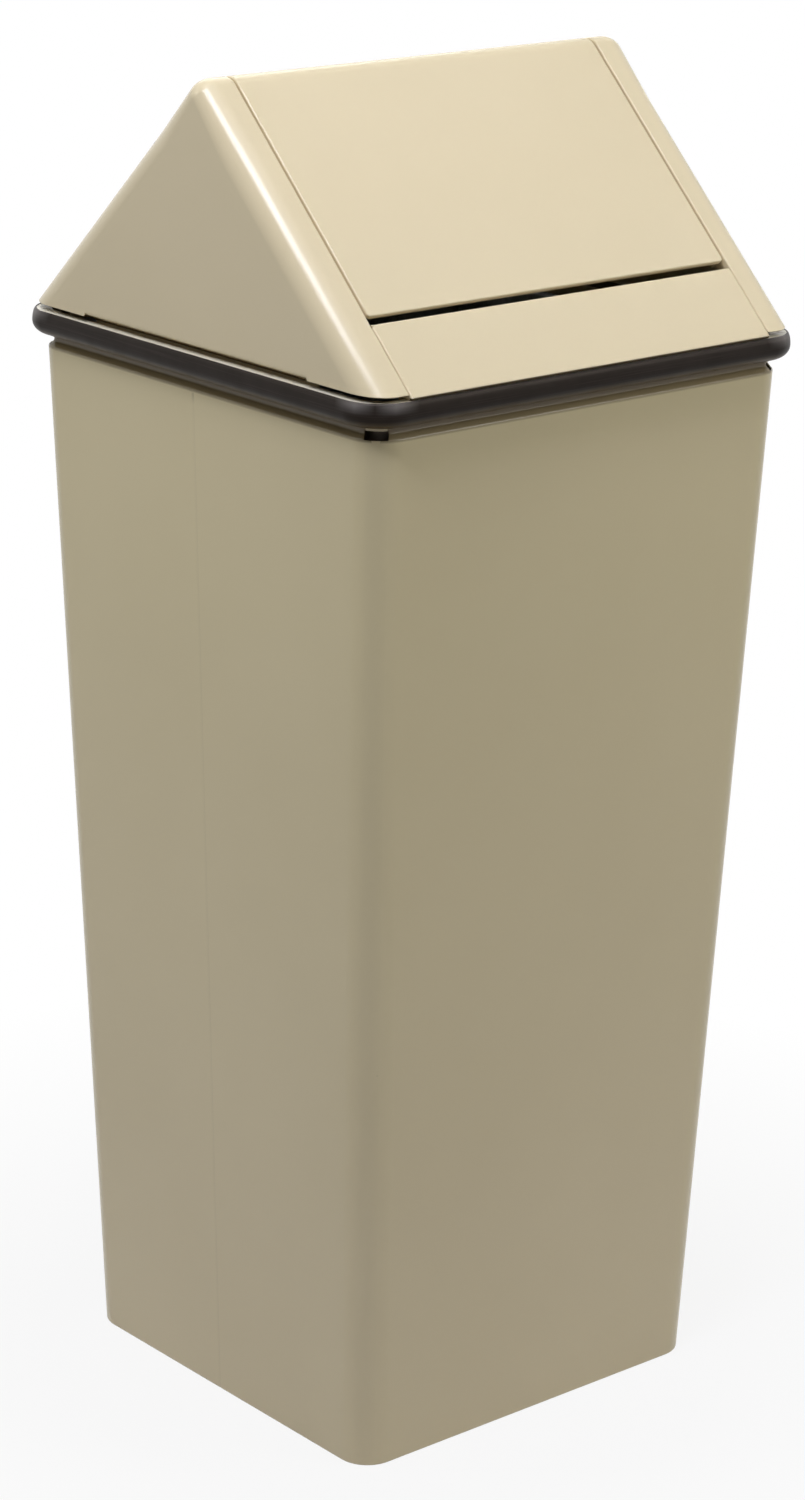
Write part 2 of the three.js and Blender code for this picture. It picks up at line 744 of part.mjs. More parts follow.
function pivotPin() {
  const head = gussetX0 - seatGap;
  const end = seamHalf + hoodSheet + seatGap + bracketSheet + bushBeyondBracket + pinEndBeyondBush;
  const profile = [
    [0, head - pinHeadHeight],
    [pinHeadRadius - 1, head - pinHeadHeight],
    [pinHeadRadius, head - pinHeadHeight + 1],
    [pinHeadRadius, head],
    [pinRadius, head],
    [pinRadius, end - 1],
    [pinRadius - 1, end],
    [0, end],
  ];
  return revolveX(profile, pinSides, 0, pivotZ);
}

// A rivet along X: a domed head at the low end, a shank, and a flat tail at the high end
function rivetX(headX, tailX, y = 0, z = 0) {
  const profile = [
    [0, headX - rivetHeadHeight],
    [rivetHeadRadius * 0.6, headX - rivetHeadHeight],
    [rivetHeadRadius, headX],
    [rivetRadius, headX],
    [rivetRadius, tailX],
    [rivetHeadRadius * 0.8, tailX],
    [rivetHeadRadius * 0.8, tailX + rivetTailHeight],
    [0, tailX + rivetTailHeight],
  ];
  return revolveX(profile, rivetSides, y, z);
}

// ---- Liner ---------------------------------------------------------------------------------

const linerCentre = (z) =>
  linerBaseHalf - linerCornerRadius + linerTaper * THREE.MathUtils.clamp(z - linerBottomZ, 0, linerRimZ);

// The wall's inner face at a height
const linerInnerHalf = (z) => linerBaseHalf + linerTaper * (z - linerBottomZ) - linerSheet;

// The tub's skin is one line: under the floor, up the outer wall, round the curl that holds the
// rim wire, down the inner wall and back over the floor.
function linerTub() {
  const outer = [];
  const inner = [];
  for (let k = 0; k <= bendSteps; k++) {
    const angle = (k / bendSteps) * (Math.PI / 2);
    const away = linerBottomBend * (1 - Math.sin(angle));
    const rise = linerBottomBend * (1 - Math.cos(angle));
    outer.push([linerBaseHalf - away, linerBottomZ + rise]);
    const innerBend = linerBottomBend - linerSheet;
    inner.push([
      linerBaseHalf - linerSheet - innerBend * (1 - Math.sin(angle)),
      linerBottomZ + linerSheet + innerBend * (1 - Math.cos(angle)),
    ]);
  }
  const curlCentre = linerTopHalf - linerSheet + rimBeadRadius;
  const curl = (radius) =>
    Array.from({ length: curlSteps + 1 }, (unused, k) => {
      const angle = Math.PI - curlTurn * (k / curlSteps);
      return [curlCentre + radius * Math.cos(angle), linerRimZ + radius * Math.sin(angle)];
    });
  const levels = [
    ...outer,
    ...curl(rimBeadRadius - linerSheet),
    ...curl(rimBeadRadius).reverse(),
    ...inner.reverse(),
  ];
  const tub = loft(levels.map(([half, z]) => squareRing(half, linerCentre(z), z)));
  const holes = earPlaces().flatMap((place) => earRivetSpots.map((x) => {
    const hole = drillX(rivetRadius + seatGap, -2 * linerSheet, 2 * linerSheet, 0, 0, rivetSides);
    return placeInEar(hole, place, x);
  }));
  return cut(tub, ...holes);
}

function rimWire() {
  const curlCentre = linerTopHalf - linerSheet + rimBeadRadius;
  const section = Array.from({ length: wireSides }, (unused, k) => {
    const angle = (2 * Math.PI * k) / wireSides;
    return new THREE.Vector2(
      curlCentre + rimWireRadius * Math.cos(angle),
      linerRimZ + rimWireRadius * Math.sin(angle),
    );
  });
  return squareTube(section, () => linerCentre(linerRimZ));
}

// ---- Ears and bails ------------------------------------------------------------------------

const earCentreX = bailHalfWidth + bailEndBend + bailRunningGap + earBarrelLength / 2;
const earRivetSpots = [-earRivetSpacing / 2, earRivetSpacing / 2];
const earTilt = Math.atan(linerTaper);

// Where each ear sits: at the left or right of the front or rear wall
function earPlaces() {
  return ["front", "rear"].flatMap((wall) =>
    ["left", "right"].map((side) => ({ wall, side, turn: wall === "front" ? 0 : Math.PI })),
  );
}

// Ear frame: origin on the wall's inner face at the pivot height, X along the wall, Y away from
// the wall into the liner, Z up along the wall
function earMatrix({ wall, side, turn }) {
  const signX = (side === "left") === (wall === "front") ? -1 : 1;
  const wallY = -linerInnerHalf(bailPivotZ);
  const place = new THREE.Matrix4().makeRotationZ(turn);
  place.multiply(new THREE.Matrix4().makeTranslation(signX * earCentreX, wallY, bailPivotZ));
  place.multiply(new THREE.Matrix4().makeRotationX(earTilt));
  return place;
}

const placeSolid = (solid, matrix) => solid.transform(matrix.elements);

// Turns a shape drawn along X to run through the wall at a rivet's place
function placeInEar(solid, place, x) {
  const along = new THREE.Matrix4().makeTranslation(x, 0, -earRivetBelowPivot);
  along.multiply(new THREE.Matrix4().makeRotationZ(-Math.PI / 2));
  return placeSolid(solid, earMatrix(place).multiply(along));
}

// The ear: a plate on the wall with a rolled barrel that holds the bail's end
function bailEar(place) {
  const bore = bailWireRadius + bailRunningGap;
  const barrelRadius = bore + earBarrelWall;
  const half = earBarrelLength / 2;
  const plate = block(
    [-earWidth / 2, earWidth / 2],
    [seatGap, seatGap + earSheet],
    [-earBelowPivot, earAbovePivot],
  );
  const strap = block([-half, half], [seatGap + earSheet / 2, earStandoff], [-barrelRadius, 0]);
  const barrel = drillX(barrelRadius, -half, half, earStandoff, 0, 2 * wireSides);
  const hole = drillX(bore, -half - 1, half + 1, earStandoff, 0, 2 * wireSides);
  const ear = cut(join(plate, strap, barrel), hole);
  const rivetHole = (x) => {
    const drill = drillX(rivetRadius + seatGap, -1, 2 * earSheet, 0, 0, rivetSides);
    const along = new THREE.Matrix4().makeTranslation(x, 0, -earRivetBelowPivot);
    return placeSolid(drill, along.multiply(new THREE.Matrix4().makeRotationZ(Math.PI / 2)));
  };
  return placeSolid(cut(ear, ...earRivetSpots.map(rivetHole)), earMatrix(place));
}

// The bail hangs straight down from its barrels, as a wide U with out-turned ends
function bail() {
  const end = earCentreX + earBarrelLength / 2 + bailEndBeyondEar;
  const line = roundedLine(
    [
      [-end, 0, 0],
      [-bailHalfWidth, 0, bailEndBend],
      [-bailHalfWidth, -bailReach, bailGripBend],
      [bailHalfWidth, -bailReach, bailGripBend],
      [bailHalfWidth, 0, bailEndBend],
      [end, 0, 0],
    ],
    bendSteps,
  );
  return rodInPlane(line, bailWireRadius, wireSides);
}

// Where the barrels' axis lies in the part's frame, for the front or the rear bail
function bailPivot(wall) {
  const place = earPlaces().find((ear) => ear.wall === wall);
  const axis = new THREE.Vector3(0, earStandoff, 0).applyMatrix4(earMatrix(place));
  return axis.setX(0);
}

// ---- Assembly ------------------------------------------------------------------------------

const receptacle = new THREE.Group();

const body = new THREE.Group();
body.add(piece("body_shell", bodyShell(), almondPaint));
body.add(piece("bottom_pan", bottomPan(), almondPaint));
body.add(piece("rim_bumper", rimBumper(), blackVinyl));
receptacle.add(body);

const liner = new THREE.Group();
liner.add(piece("liner_tub", linerTub(), galvanised));
liner.add(piece("liner_rim_wire", rimWire(), zincPlate));
for (const place of earPlaces()) {
  const label = `${place.wall}_${place.side}`;
  liner.add(piece(`bail_ear_${label}`, bailEar(place), galvanised));
  earRivetSpots.forEach((x, i) => {
    const head = -seatGap * 2 - earSheet;
    const rivet = rivetX(head, linerSheet + seatGap);
    liner.add(piece(`ear_rivet_${label}_${i + 1}`, placeInEar(rivet, place, x), zincPlate));
  });
}
receptacle.add(liner);

for (const wall of ["front", "rear"]) {
  const handle = piece(`bail_${wall}`, bail(), zincPlate);
  handle.position.copy(bailPivot(wall));
  receptacle.add(handle);
}

const hood = new THREE.Group();
const door = new THREE.Group();
const fasciaFront = fascia();
hood.add(piece("fascia_front", fasciaFront, almondPaint));
hood.add(piece("fascia_rear", fasciaFront.mirror([0, 1, 0]), almondPaint));
door.add(piece("swing_door", doorPanel(), almondPaint));
const bracketRivetTail = seamHalf + hoodSheet + seatGap + bracketSheet + seatGap;
for (const side of ["right", "left"]) {
  const handed = (solid) => (side === "right" ? solid : mirrorX(solid));
  hood.add(piece(`end_cap_${side}`, handed(endCap()), almondPaint));
  hood.add(piece(`pivot_bracket_${side}`, handed(pivotBracket()), zincPlate));
  hood.add(piece(`pivot_bush_${side}`, handed(pivotBush()), whiteNylon));
  door.add(piece(`door_gusset_${side}`, handed(doorGusset()), almondPaint));
  door.add(piece(`pivot_pin_${side}`, handed(pivotPin()), zincPlate));
  ["front", "rear"].forEach((wall, i) => {
    const bracketSpot = rivetSpots(bracketRivetSlope)[i];
    const gussetSpot = rivetSpots(gussetRivetSlope)[i];
    const bracketRivet = rivetX(seamHalf - seatGap, bracketRivetTail, bracketSpot.x, bracketSpot.y);
    const gussetRivet = rivetX(gussetX0 - seatGap, doorHalf + seatGap, gussetSpot.x, gussetSpot.y);
    hood.add(piece(`bracket_rivet_${side}_${wall}`, handed(bracketRivet), zincPlate));
    door.add(piece(`gusset_rivet_${side}_${wall}`, handed(gussetRivet), zincPlate));
  });
}
receptacle.add(hood, door);

export default receptacle;
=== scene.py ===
"""The swing-door waste receptacle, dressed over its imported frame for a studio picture."""

import math

import bmesh
import bpy
from mathutils import Matrix, Vector


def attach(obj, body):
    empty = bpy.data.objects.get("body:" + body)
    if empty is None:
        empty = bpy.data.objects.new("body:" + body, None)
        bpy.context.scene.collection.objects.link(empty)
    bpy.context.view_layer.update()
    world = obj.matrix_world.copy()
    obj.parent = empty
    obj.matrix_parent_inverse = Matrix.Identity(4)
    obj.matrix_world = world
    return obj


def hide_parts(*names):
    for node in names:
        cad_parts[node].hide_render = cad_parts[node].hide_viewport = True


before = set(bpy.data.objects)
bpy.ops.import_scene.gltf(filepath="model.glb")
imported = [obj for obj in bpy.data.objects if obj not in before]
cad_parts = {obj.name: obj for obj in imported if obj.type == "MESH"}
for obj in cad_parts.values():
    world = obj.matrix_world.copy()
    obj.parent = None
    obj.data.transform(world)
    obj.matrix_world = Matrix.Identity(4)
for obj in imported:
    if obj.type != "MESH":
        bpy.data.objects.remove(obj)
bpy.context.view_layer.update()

MM = 0.001

# ---- Dimensions in millimetres -------------------------------------------------------------
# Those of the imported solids, apart from a few bends, seams and edges, which follow the photograph
# up to 2 mm away from them. The weld seam and the door's rounded corners are the scene's own.

SEAT_GAP = 0.3

BODY_SHEET = 0.9
BASE_HALF = 154.7
WALL_TOP_HALF = 180.7
WALL_TOP_Z = 729
BODY_CORNER = 23
BASE_LEDGE = 12
BASE_BEND = 2
SHOULDER_HEIGHT = 4
SHOULDER_BEND = 3
NECK_HALF = 176.6
NECK_CORNER = 16
RIM_Z = 754.2
FLANGE_HALF = 188
FLANGE_BEND = 2
WINDOW_WIDTH = 15.5
WINDOW_Z = (729.2, 734.6)
SEAM_Y = 4
SEAM_WIDTH = 2.4
SEAM_DEPTH = 0.25

BUMPER_HALF = 190.5
BUMPER_TOP_Z = 754.8
BUMPER_LOW_Z = 737.5
BUMPER_WALL = 2
BUMPER_TOP_RUN = 2.8
BUMPER_UNDER_RUN = 10
BUMPER_LIP_HALF = 187.5
BUMPER_NECK_EDGE = 177.8
BUMPER_BUTT_GAP = 0.6
BUMPER_LIP_GAP = 0.1
BUMPER_LIP_CHAMFER = (0.15, 0.2)
BUMPER_LIP_DROP = 0.06
BUMPER_LOW_CHAMFER = 0.3

HOOD_SHEET = 1
ROOF_ANGLE = math.radians(43.8)
RIDGE_RADIUS = 13.1
RIDGE_Z = 917.96
FOOT_BEND = 1.6
GABLE_HALF = 184.6
SEAM_HALF = 156.8
SEAM_BEND = 1.1
CAP_RETURN = 11
CAP_EDGE_RUN_RIDGE = 16
CAP_EDGE_DEPTH_RIDGE = 12.6
CAP_EDGE_FOOT = 17.8
CAP_EDGE_GROWTH = 0.2
CAP_CUT_Z = 758.3
TAB_HALF = 118
TAB_BEND_Z = 760.2
TAB_UPPER_BEND = 2.5
TAB_LOWER_BEND = 3
TAB_FOOT_Z = 755.2
SKIRT_HALF = 174.5
SKIRT_LOW_Z = 738
FASCIA_SLOPE = 59.8
FASCIA_RETURN = 10
FASCIA_TOP_BEND = 2
FASCIA_SKIRT_BEND = 1.5
FASCIA_END = 12
FASCIA_GAP = 0.6
FASCIA_END_BEND = 1.2
FASCIA_END_SETBACK = 0.3
FASCIA_END_TOP = 2.2
FASCIA_END_LOW = 2.6
FASCIA_BEND_STEPS = 8
FASCIA_FACE_ROWS = (9, 10)

DOOR_HALF = 154.8
DOOR_SLOT = 5.6
DOOR_EDGE_BEND = 1.3
DOOR_CORNER = 3.2
DOOR_FLANGE = 12
DOOR_LIP = 3.2
DOOR_SHEET = 1

LINER_SHEET = 0.8
LINER_BASE_HALF = 143
LINER_TOP_HALF = 167
LINER_LOW_Z = 10.4
LINER_RIM_Z = 741
LINER_CORNER = 22
LINER_BOTTOM_BEND = 4
LINER_BEAD = 3.1
LINER_CURL = math.radians(290)

PAN_CLEARANCE = 0.5
PAN_RIM = 17
PAN_RUN = 4
PAN_RISE = 8
PAN_BEND = 2
PAN_FLAT = 6

RIM_WIRE = 2
BAIL_WIRE = 2.5
BAIL_REACH = 36
BAIL_HALF = 44.5
BAIL_END = 64.8
BAIL_END_BEND = 5
BAIL_GRIP_BEND = 9
BAIL_CHAMFER = 0.4
BAIL_PIVOT_Z = 728
EAR_X = 56.3
EAR_HALF = 15
EAR_TOP = 6
EAR_LOW = -20
EAR_SHEET = 1.5
EAR_CORNER = 4
EAR_STANDOFF = 7.5
EAR_BORE = 2.8
EAR_BARREL = 4.6
EAR_BARREL_HALF = 6.5
EAR_RIVET_Z = -14
EAR_RIVET_X = 9
EAR_STRAP_OVERLAP = 0.4

PIVOT_Z = 903.06
GUSSET_X0 = 151.5
BRACKET_TAIL_X = 160.4
PIN_RADIUS = 4
PIN_HEAD = 6.5
PIN_HEAD_X = (149.2, 151.2)
PIN_END_X = 163.1
PIN_CHAMFER = 1
BUSH_BORE = 4.3
BUSH_BARREL = 6.3
BUSH_FLANGE = 8
BUSH_X = (156.3, 157.8, 161.6)
RIVET_RADIUS = 1.6
RIVET_HEAD = 3.2
RIVET_RISE = 1
RIVET_FOOT = 2.56
RIVET_FOOT_RISE = 0.7
HOOD_RIVET_DEPTH = 6
BRACKET_RIVET_SLOPE = 55
GUSSET_RIVET_SLOPE = 40

EDGE_ROUNDING = 0.2
FINE_ROUNDING = 0.15

# ---- Where the finishes change tone, in millimetres ----------------------------------------
# Heights end in _Z, distances from the axis in _OUT. A pair is where a change begins and ends.

YELLOWED_Z = (150, 600)
BODY_TOP_Z = (728.5, 730)
# Painted shade in the neck under the bumper and over the shoulder below it.
NECK_SHADE_Z = (728.7, 753.8)
NECK_SHADE_OUT = (175.5, 175.8)
NECK_DARKER_Z = (731.8, 734.8)
# Painted light on the flange's top.
FLANGE_Z = (753.9, 754.4)
FLANGE_OUT = (176.5, 180)
# Painted shade under the gable's joggled tab.
JOGGLE_Z = (755, 759.1)
JOGGLE_OUT = (172.5, 174)
JOGGLE_END = (118.4, 119)
# Painted shade along the strip's foot.
STRIP_FOOT_Z = (754.4, 755.9)
STRIP_FOOT_OUT = (184.3, 184.8)
WELD_Y = (3.1, 4.9)
WELD_X = (-154, -150)
WELD_DARKER_Z = (719.5, 725.5)
WELD_TOP_Z = (726.5, 728)
# A painted reflection on the bumper's underside.
BUMPER_UNDERSIDE_Z = (738.6, 743.5)
# Painted highlights on the bumper's corners.
HIGHLIGHT_PLACE = 18.5
HIGHLIGHT_REACH = 19
HIGHLIGHT_Z = 752.8
HIGHLIGHT_HEIGHT = 5.8
# Painted shade on the liner's corners below the rim.
LINER_CORNER_OUT = (295, 306)
LINER_SHADE_Z = (722, 737)

# ---- Derived places ------------------------------------------------------------------------

SLOPE_Y = math.cos(ROOF_ANGLE)
SLOPE_Z = math.sin(ROOF_ANGLE)
APEX_Z = RIDGE_Z + RIDGE_RADIUS / SLOPE_Y
RIDGE_ARC = RIDGE_RADIUS * ROOF_ANGLE
RIDGE_TANGENT = RIDGE_RADIUS * math.tan(ROOF_ANGLE)
LIP_Z = RIM_Z + SEAT_GAP
FOOT_CORNER = (APEX_Z - LIP_Z) / math.tan(ROOF_ANGLE)
ROOF_SLOPE = FOOT_CORNER / SLOPE_Y
DOOR_LOW = ROOF_SLOPE - FASCIA_SLOPE - DOOR_SLOT
BODY_TAPER = (WALL_TOP_HALF - BASE_HALF) / WALL_TOP_Z
LINER_TAPER = (LINER_TOP_HALF - LINER_BASE_HALF) / (LINER_RIM_Z - LINER_LOW_Z)


# ---- Mesh helpers --------------------------------------------------------------------------

def steps(count):
    """Fractions from 0 to 1 in equal steps."""
    return [k / count for k in range(count + 1)]


def arc_points(centre, radius, start, end, count):
    """Points (u, v) on an arc, its angles in degrees."""
    angles = [math.radians(start + (end - start) * share) for share in steps(count)]
    return [(centre[0] + radius * math.cos(a), centre[1] + radius * math.sin(a)) for a in angles]


def bent_line(corners, count=6):
    """A line through (u, v, bend radius) corners, each corner rounded."""
    line = []
    for i, (u, v, radius) in enumerate(corners):
        here = Vector((u, v))
        if i in (0, len(corners) - 1):
            line.append(here)
            continue
        before = (here - Vector(corners[i - 1][:2])).normalized()
        after = (Vector(corners[i + 1][:2]) - here).normalized()
        turn = math.atan2(before.cross(after), before.dot(after))
        reach = radius * math.tan(abs(turn) / 2)
        start = here - before * reach
        side = math.copysign(1, turn)
        centre = start + Vector((-before.y, before.x)) * side * radius
        for share in steps(count):
            ray = start - centre
            ray.rotate(Matrix.Rotation(turn * share, 2))
            line.append(centre + ray)
    return [(point.x, point.y) for point in line]


def grid_faces(rows, columns, wrap_rows=False, wrap_columns=False):
    """Quads over points kept row by row."""
    faces = []
    for r in range(rows if wrap_rows else rows - 1):
        for c in range(columns if wrap_columns else columns - 1):
            here, there = r * columns, (r + 1) % rows * columns
            after = (c + 1) % columns
            faces.append((here + c, here + after, there + after, there + c))
    return faces


def make_object(name, points, faces, inside=None):
    """A smooth mesh from millimetre points. Faces look away from the point inside, where given."""
    shape = bmesh.new()
    verts = [shape.verts.new(Vector(point) * MM) for point in points]
    for face in faces:
        shape.faces.new([verts[i] for i in face])
    bmesh.ops.remove_doubles(shape, verts=shape.verts, dist=0.002 * MM)
    bmesh.ops.recalc_face_normals(shape, faces=shape.faces)
    if inside is not None:
        centre = Vector(inside) * MM
        facing = sum(face.normal.dot(face.calc_center_median() - centre) * face.calc_area()
                     for face in shape.faces)
        if facing < 0:
            bmesh.ops.reverse_faces(shape, faces=shape.faces)
    mesh = bpy.data.meshes.new(name)
    shape.to_mesh(mesh)
    shape.free()
    mesh.shade_smooth()
    piece = bpy.data.objects.new(name, mesh)
    bpy.context.scene.collection.objects.link(piece)
    return piece


def thicken(piece, thickness):
    """Gives an open skin the thickness of its sheet, inward."""
    solid = piece.modifiers.new("sheet", "SOLIDIFY")
    solid.thickness = thickness * MM
    solid.offset = -1
    solid.use_even_offset = True
    return piece


def round_edges(piece, width=EDGE_ROUNDING, angle=35):
    """Rounds the cut edges and keeps the flats flat."""
    bevel = piece.modifiers.new("edges", "BEVEL")
    bevel.width = width * MM
    bevel.segments = 2
    bevel.limit_method = "ANGLE"
    bevel.angle_limit = math.radians(angle)
    bevel.use_clamp_overlap = False
    normals = piece.modifiers.new("flats", "WEIGHTED_NORMAL")
    normals.keep_sharp = True
    return piece


def fit(piece, body, slot, material, *nodes):
    """Gives a piece its body, its finish and the solids that it stands for."""
    piece.data.materials.clear()
    piece.data.materials.append(material)
    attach(piece, body)
    if nodes:
        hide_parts(*nodes)
    return piece


# ---- Node helpers --------------------------------------------------------------------------

class Finish:
    """A Principled material under construction."""

    def __init__(self, name, colour, roughness, metallic=0.0):
        self.material = bpy.data.materials.new(name)
        self.material.use_nodes = True
        self.tree = self.material.node_tree
        self.shader = self.tree.nodes["Principled BSDF"]
        self.shader.inputs["Base Color"].default_value = (*colour, 1)
        self.shader.inputs["Roughness"].default_value = roughness
        self.shader.inputs["Metallic"].default_value = metallic
        self.place = self.node("ShaderNodeTexCoord").outputs["Object"]

    def node(self, kind, **settings):
        made = self.tree.nodes.new(kind)
        for key, value in settings.items():
            setattr(made, key, value)
        return made

    def join(self, source, target):
        self.tree.links.new(source, target)

    def noise(self, scale, detail=2.0, roughness=0.5, stretch=None):
        """A noise pattern in metres, as a value from 0 to 1."""
        made = self.node("ShaderNodeTexNoise")
        made.inputs["Scale"].default_value = scale
        made.inputs["Detail"].default_value = detail
        made.inputs["Roughness"].default_value = roughness
        place = self.place
        if stretch:
            mapping = self.node("ShaderNodeMapping")
            mapping.inputs["Scale"].default_value = stretch
            self.join(place, mapping.inputs["Vector"])
            place = mapping.outputs["Vector"]
        self.join(place, made.inputs["Vector"])
        return made.outputs["Fac"]

    def cells(self, scale):
        """A cell pattern in metres."""
        made = self.node("ShaderNodeTexVoronoi")
        made.inputs["Scale"].default_value = scale
        self.join(self.place, made.inputs["Vector"])
        return made

    def spread(self, value, low, high, to_low, to_high):
        """Maps a value from one range to another, held at both ends."""
        made = self.node("ShaderNodeMapRange")
        for name, number in (("From Min", low), ("From Max", high),
                             ("To Min", to_low), ("To Max", to_high)):
            made.inputs[name].default_value = number
        self.join(value, made.inputs["Value"])
        return made.outputs["Result"]

    def change(self, value, span, to_low, to_high):
        """Maps a place, which changes over a span in millimetres, held at both ends."""
        return self.spread(value, span[0] * MM, span[1] * MM, to_low, to_high)

    def band(self, value, span, soft):
        """1 between two places in millimetres, fading to 0 outside them."""
        low, high = span
        rise = self.change(value, (low - soft, low), 0, 1)
        return self.product(rise, self.change(value, (high, high + soft), 1, 0))

    def near(self, value, place, reach):
        """1 at a place in millimetres, fading evenly to 0 at a distance from it."""
        away = self.math("ABSOLUTE", self.math("SUBTRACT", value, place * MM))
        return self.change(away, (0, reach), 1, 0)

    def shade(self, factor, first, second):
        """Mixes two colours, either of which may be an output."""
        made = self.node("ShaderNodeMix", data_type="RGBA")
        self.join(factor, made.inputs["Factor"])
        for socket, value in ((made.inputs[6], first), (made.inputs[7], second)):
            if isinstance(value, tuple):
                socket.default_value = (*value, 1)
            else:
                self.join(value, socket)
        return made.outputs[2]

    def axes(self):
        """The place as X, Y and Z."""
        split = self.node("ShaderNodeSeparateXYZ")
        self.join(self.place, split.inputs["Vector"])
        return tuple(split.outputs)

    def math(self, operation, *values):
        """A sum on numbers or outputs."""
        made = self.node("ShaderNodeMath", operation=operation)
        for socket, value in zip(made.inputs, values):
            if isinstance(value, (int, float)):
                socket.default_value = value
            else:
                self.join(value, socket)
        return made.outputs[0]

    def product(self, *values):
        """Two values or more, multiplied."""
        result = values[0]
        for value in values[1:]:
            result = self.math("MULTIPLY", result, value)
        return result

    def set_colour(self, output):
        self.join(output, self.shader.inputs["Base Color"])

    def set_roughness(self, output):
        self.join(output, self.shader.inputs["Roughness"])

    def bump(self, *layers):
        """Stacks height patterns, each as (value, height in millimetres)."""
        normal = None
        for value, height in layers:
            made = self.node("ShaderNodeBump")
            made.inputs["Distance"].default_value = height * MM
            made.inputs["Strength"].default_value = 1.0
            self.join(value, made.inputs["Height"])
            if normal is not None:
                self.join(normal, made.inputs["Normal"])
            normal = made.outputs["Normal"]
        self.join(normal, self.shader.inputs["Normal"])


# ---- Finishes ------------------------------------------------------------------------------

def almond_enamel():
    """Baked enamel on sheet steel: orange peel, slow waves, dust nibs and yellowing, with painted
    shade in the neck, joggle and foot and painted light on the flange.
    """
    almond, yellowed = (0.80, 0.68, 0.448), (0.795, 0.68, 0.417)
    dust, painted_flange_light, weld = (0.24, 0.2, 0.14), (0.92, 0.86, 0.7), (0.42, 0.34, 0.21)
    painted_neck_shade, painted_deep_neck_shade = (0.36, 0.285, 0.165), (0.2, 0.14, 0.065)
    painted_joggle_shade, painted_foot_shade = (0.2, 0.13, 0.05), (0.12, 0.085, 0.04)
    finish = Finish("almond_enamel", almond, 0.36)
    finish.shader.inputs["IOR"].default_value = 1.46
    finish.shader.inputs["Specular IOR Level"].default_value = 0.38
    tone = finish.spread(finish.noise(5.0, 3.0, 0.55), 0.25, 0.75, 0, 1)

    def varied(paint):
        """The paint's slow change from a darker to a lighter tone."""
        darker = tuple(c * share for c, share in zip(paint, (0.98, 0.977, 0.968)))
        lighter = tuple(c * share for c, share in zip(paint, (1.02, 1.02, 1.025)))
        return finish.shade(tone, darker, lighter)

    x, y, z = finish.axes()
    from_x, from_y = finish.math("ABSOLUTE", x), finish.math("ABSOLUTE", y)
    out = finish.math("MAXIMUM", from_x, from_y)

    aged = finish.product(finish.change(z, YELLOWED_Z, 0, 1), finish.change(z, BODY_TOP_Z, 1, 0))
    colour = finish.shade(aged, varied(almond), varied(yellowed))

    specks = finish.spread(finish.cells(26.0).outputs["Distance"], 0.012, 0.02, 0.6, 0)
    rare = finish.spread(finish.noise(9.0, 1.0), 0.56, 0.6, 0, 1)
    colour = finish.shade(finish.product(specks, rare), colour, dust)

    # Painted shade: the recessed neck under the bumper and the shoulder below it are darkened.
    neck = finish.product(finish.band(z, NECK_SHADE_Z, 1.4),
                          finish.change(out, NECK_SHADE_OUT, 0, 0.92))
    colour = finish.shade(neck, colour, finish.shade(
        finish.change(z, NECK_DARKER_Z, 0, 1), painted_neck_shade, painted_deep_neck_shade))

    # Painted light: a pale band on the flange's top, beside the gable.
    flange = finish.product(finish.band(z, FLANGE_Z, 0.1), finish.change(out, FLANGE_OUT, 0, 1))
    colour = finish.shade(flange, colour, painted_flange_light)

    # Painted shade: the joggled tab under the gable face is darkened.
    joggle = finish.product(finish.band(z, JOGGLE_Z, 0.6),
                            finish.change(from_x, JOGGLE_OUT, 0, 1),
                            finish.change(from_y, JOGGLE_END, 0.9, 0))
    colour = finish.shade(joggle, colour, painted_joggle_shade)

    # Painted shade: a dark line along the strip's foot, in the gap above the bumper.
    foot = finish.product(finish.band(z, STRIP_FOOT_Z, 0.5),
                          finish.change(from_y, STRIP_FOOT_OUT, 0, 1))
    colour = finish.shade(foot, colour, painted_foot_shade)

    seam = finish.product(finish.band(y, WELD_Y, 0.5),
                          finish.change(x, WELD_X, 1, 0),
                          finish.change(z, WELD_TOP_Z, 1, 0),
                          finish.change(z, WELD_DARKER_Z, 0.055, 0.34))
    finish.set_colour(finish.shade(seam, colour, weld))

    finish.set_roughness(finish.spread(finish.noise(14.0, 4.0, 0.6), 0.25, 0.75, 0.19, 0.24))
    waves = finish.noise(7.0, 1.0)
    peel = finish.noise(420.0, 1.5, 0.5)
    finish.bump((waves, 0.5), (peel, 0.012))
    return finish.material


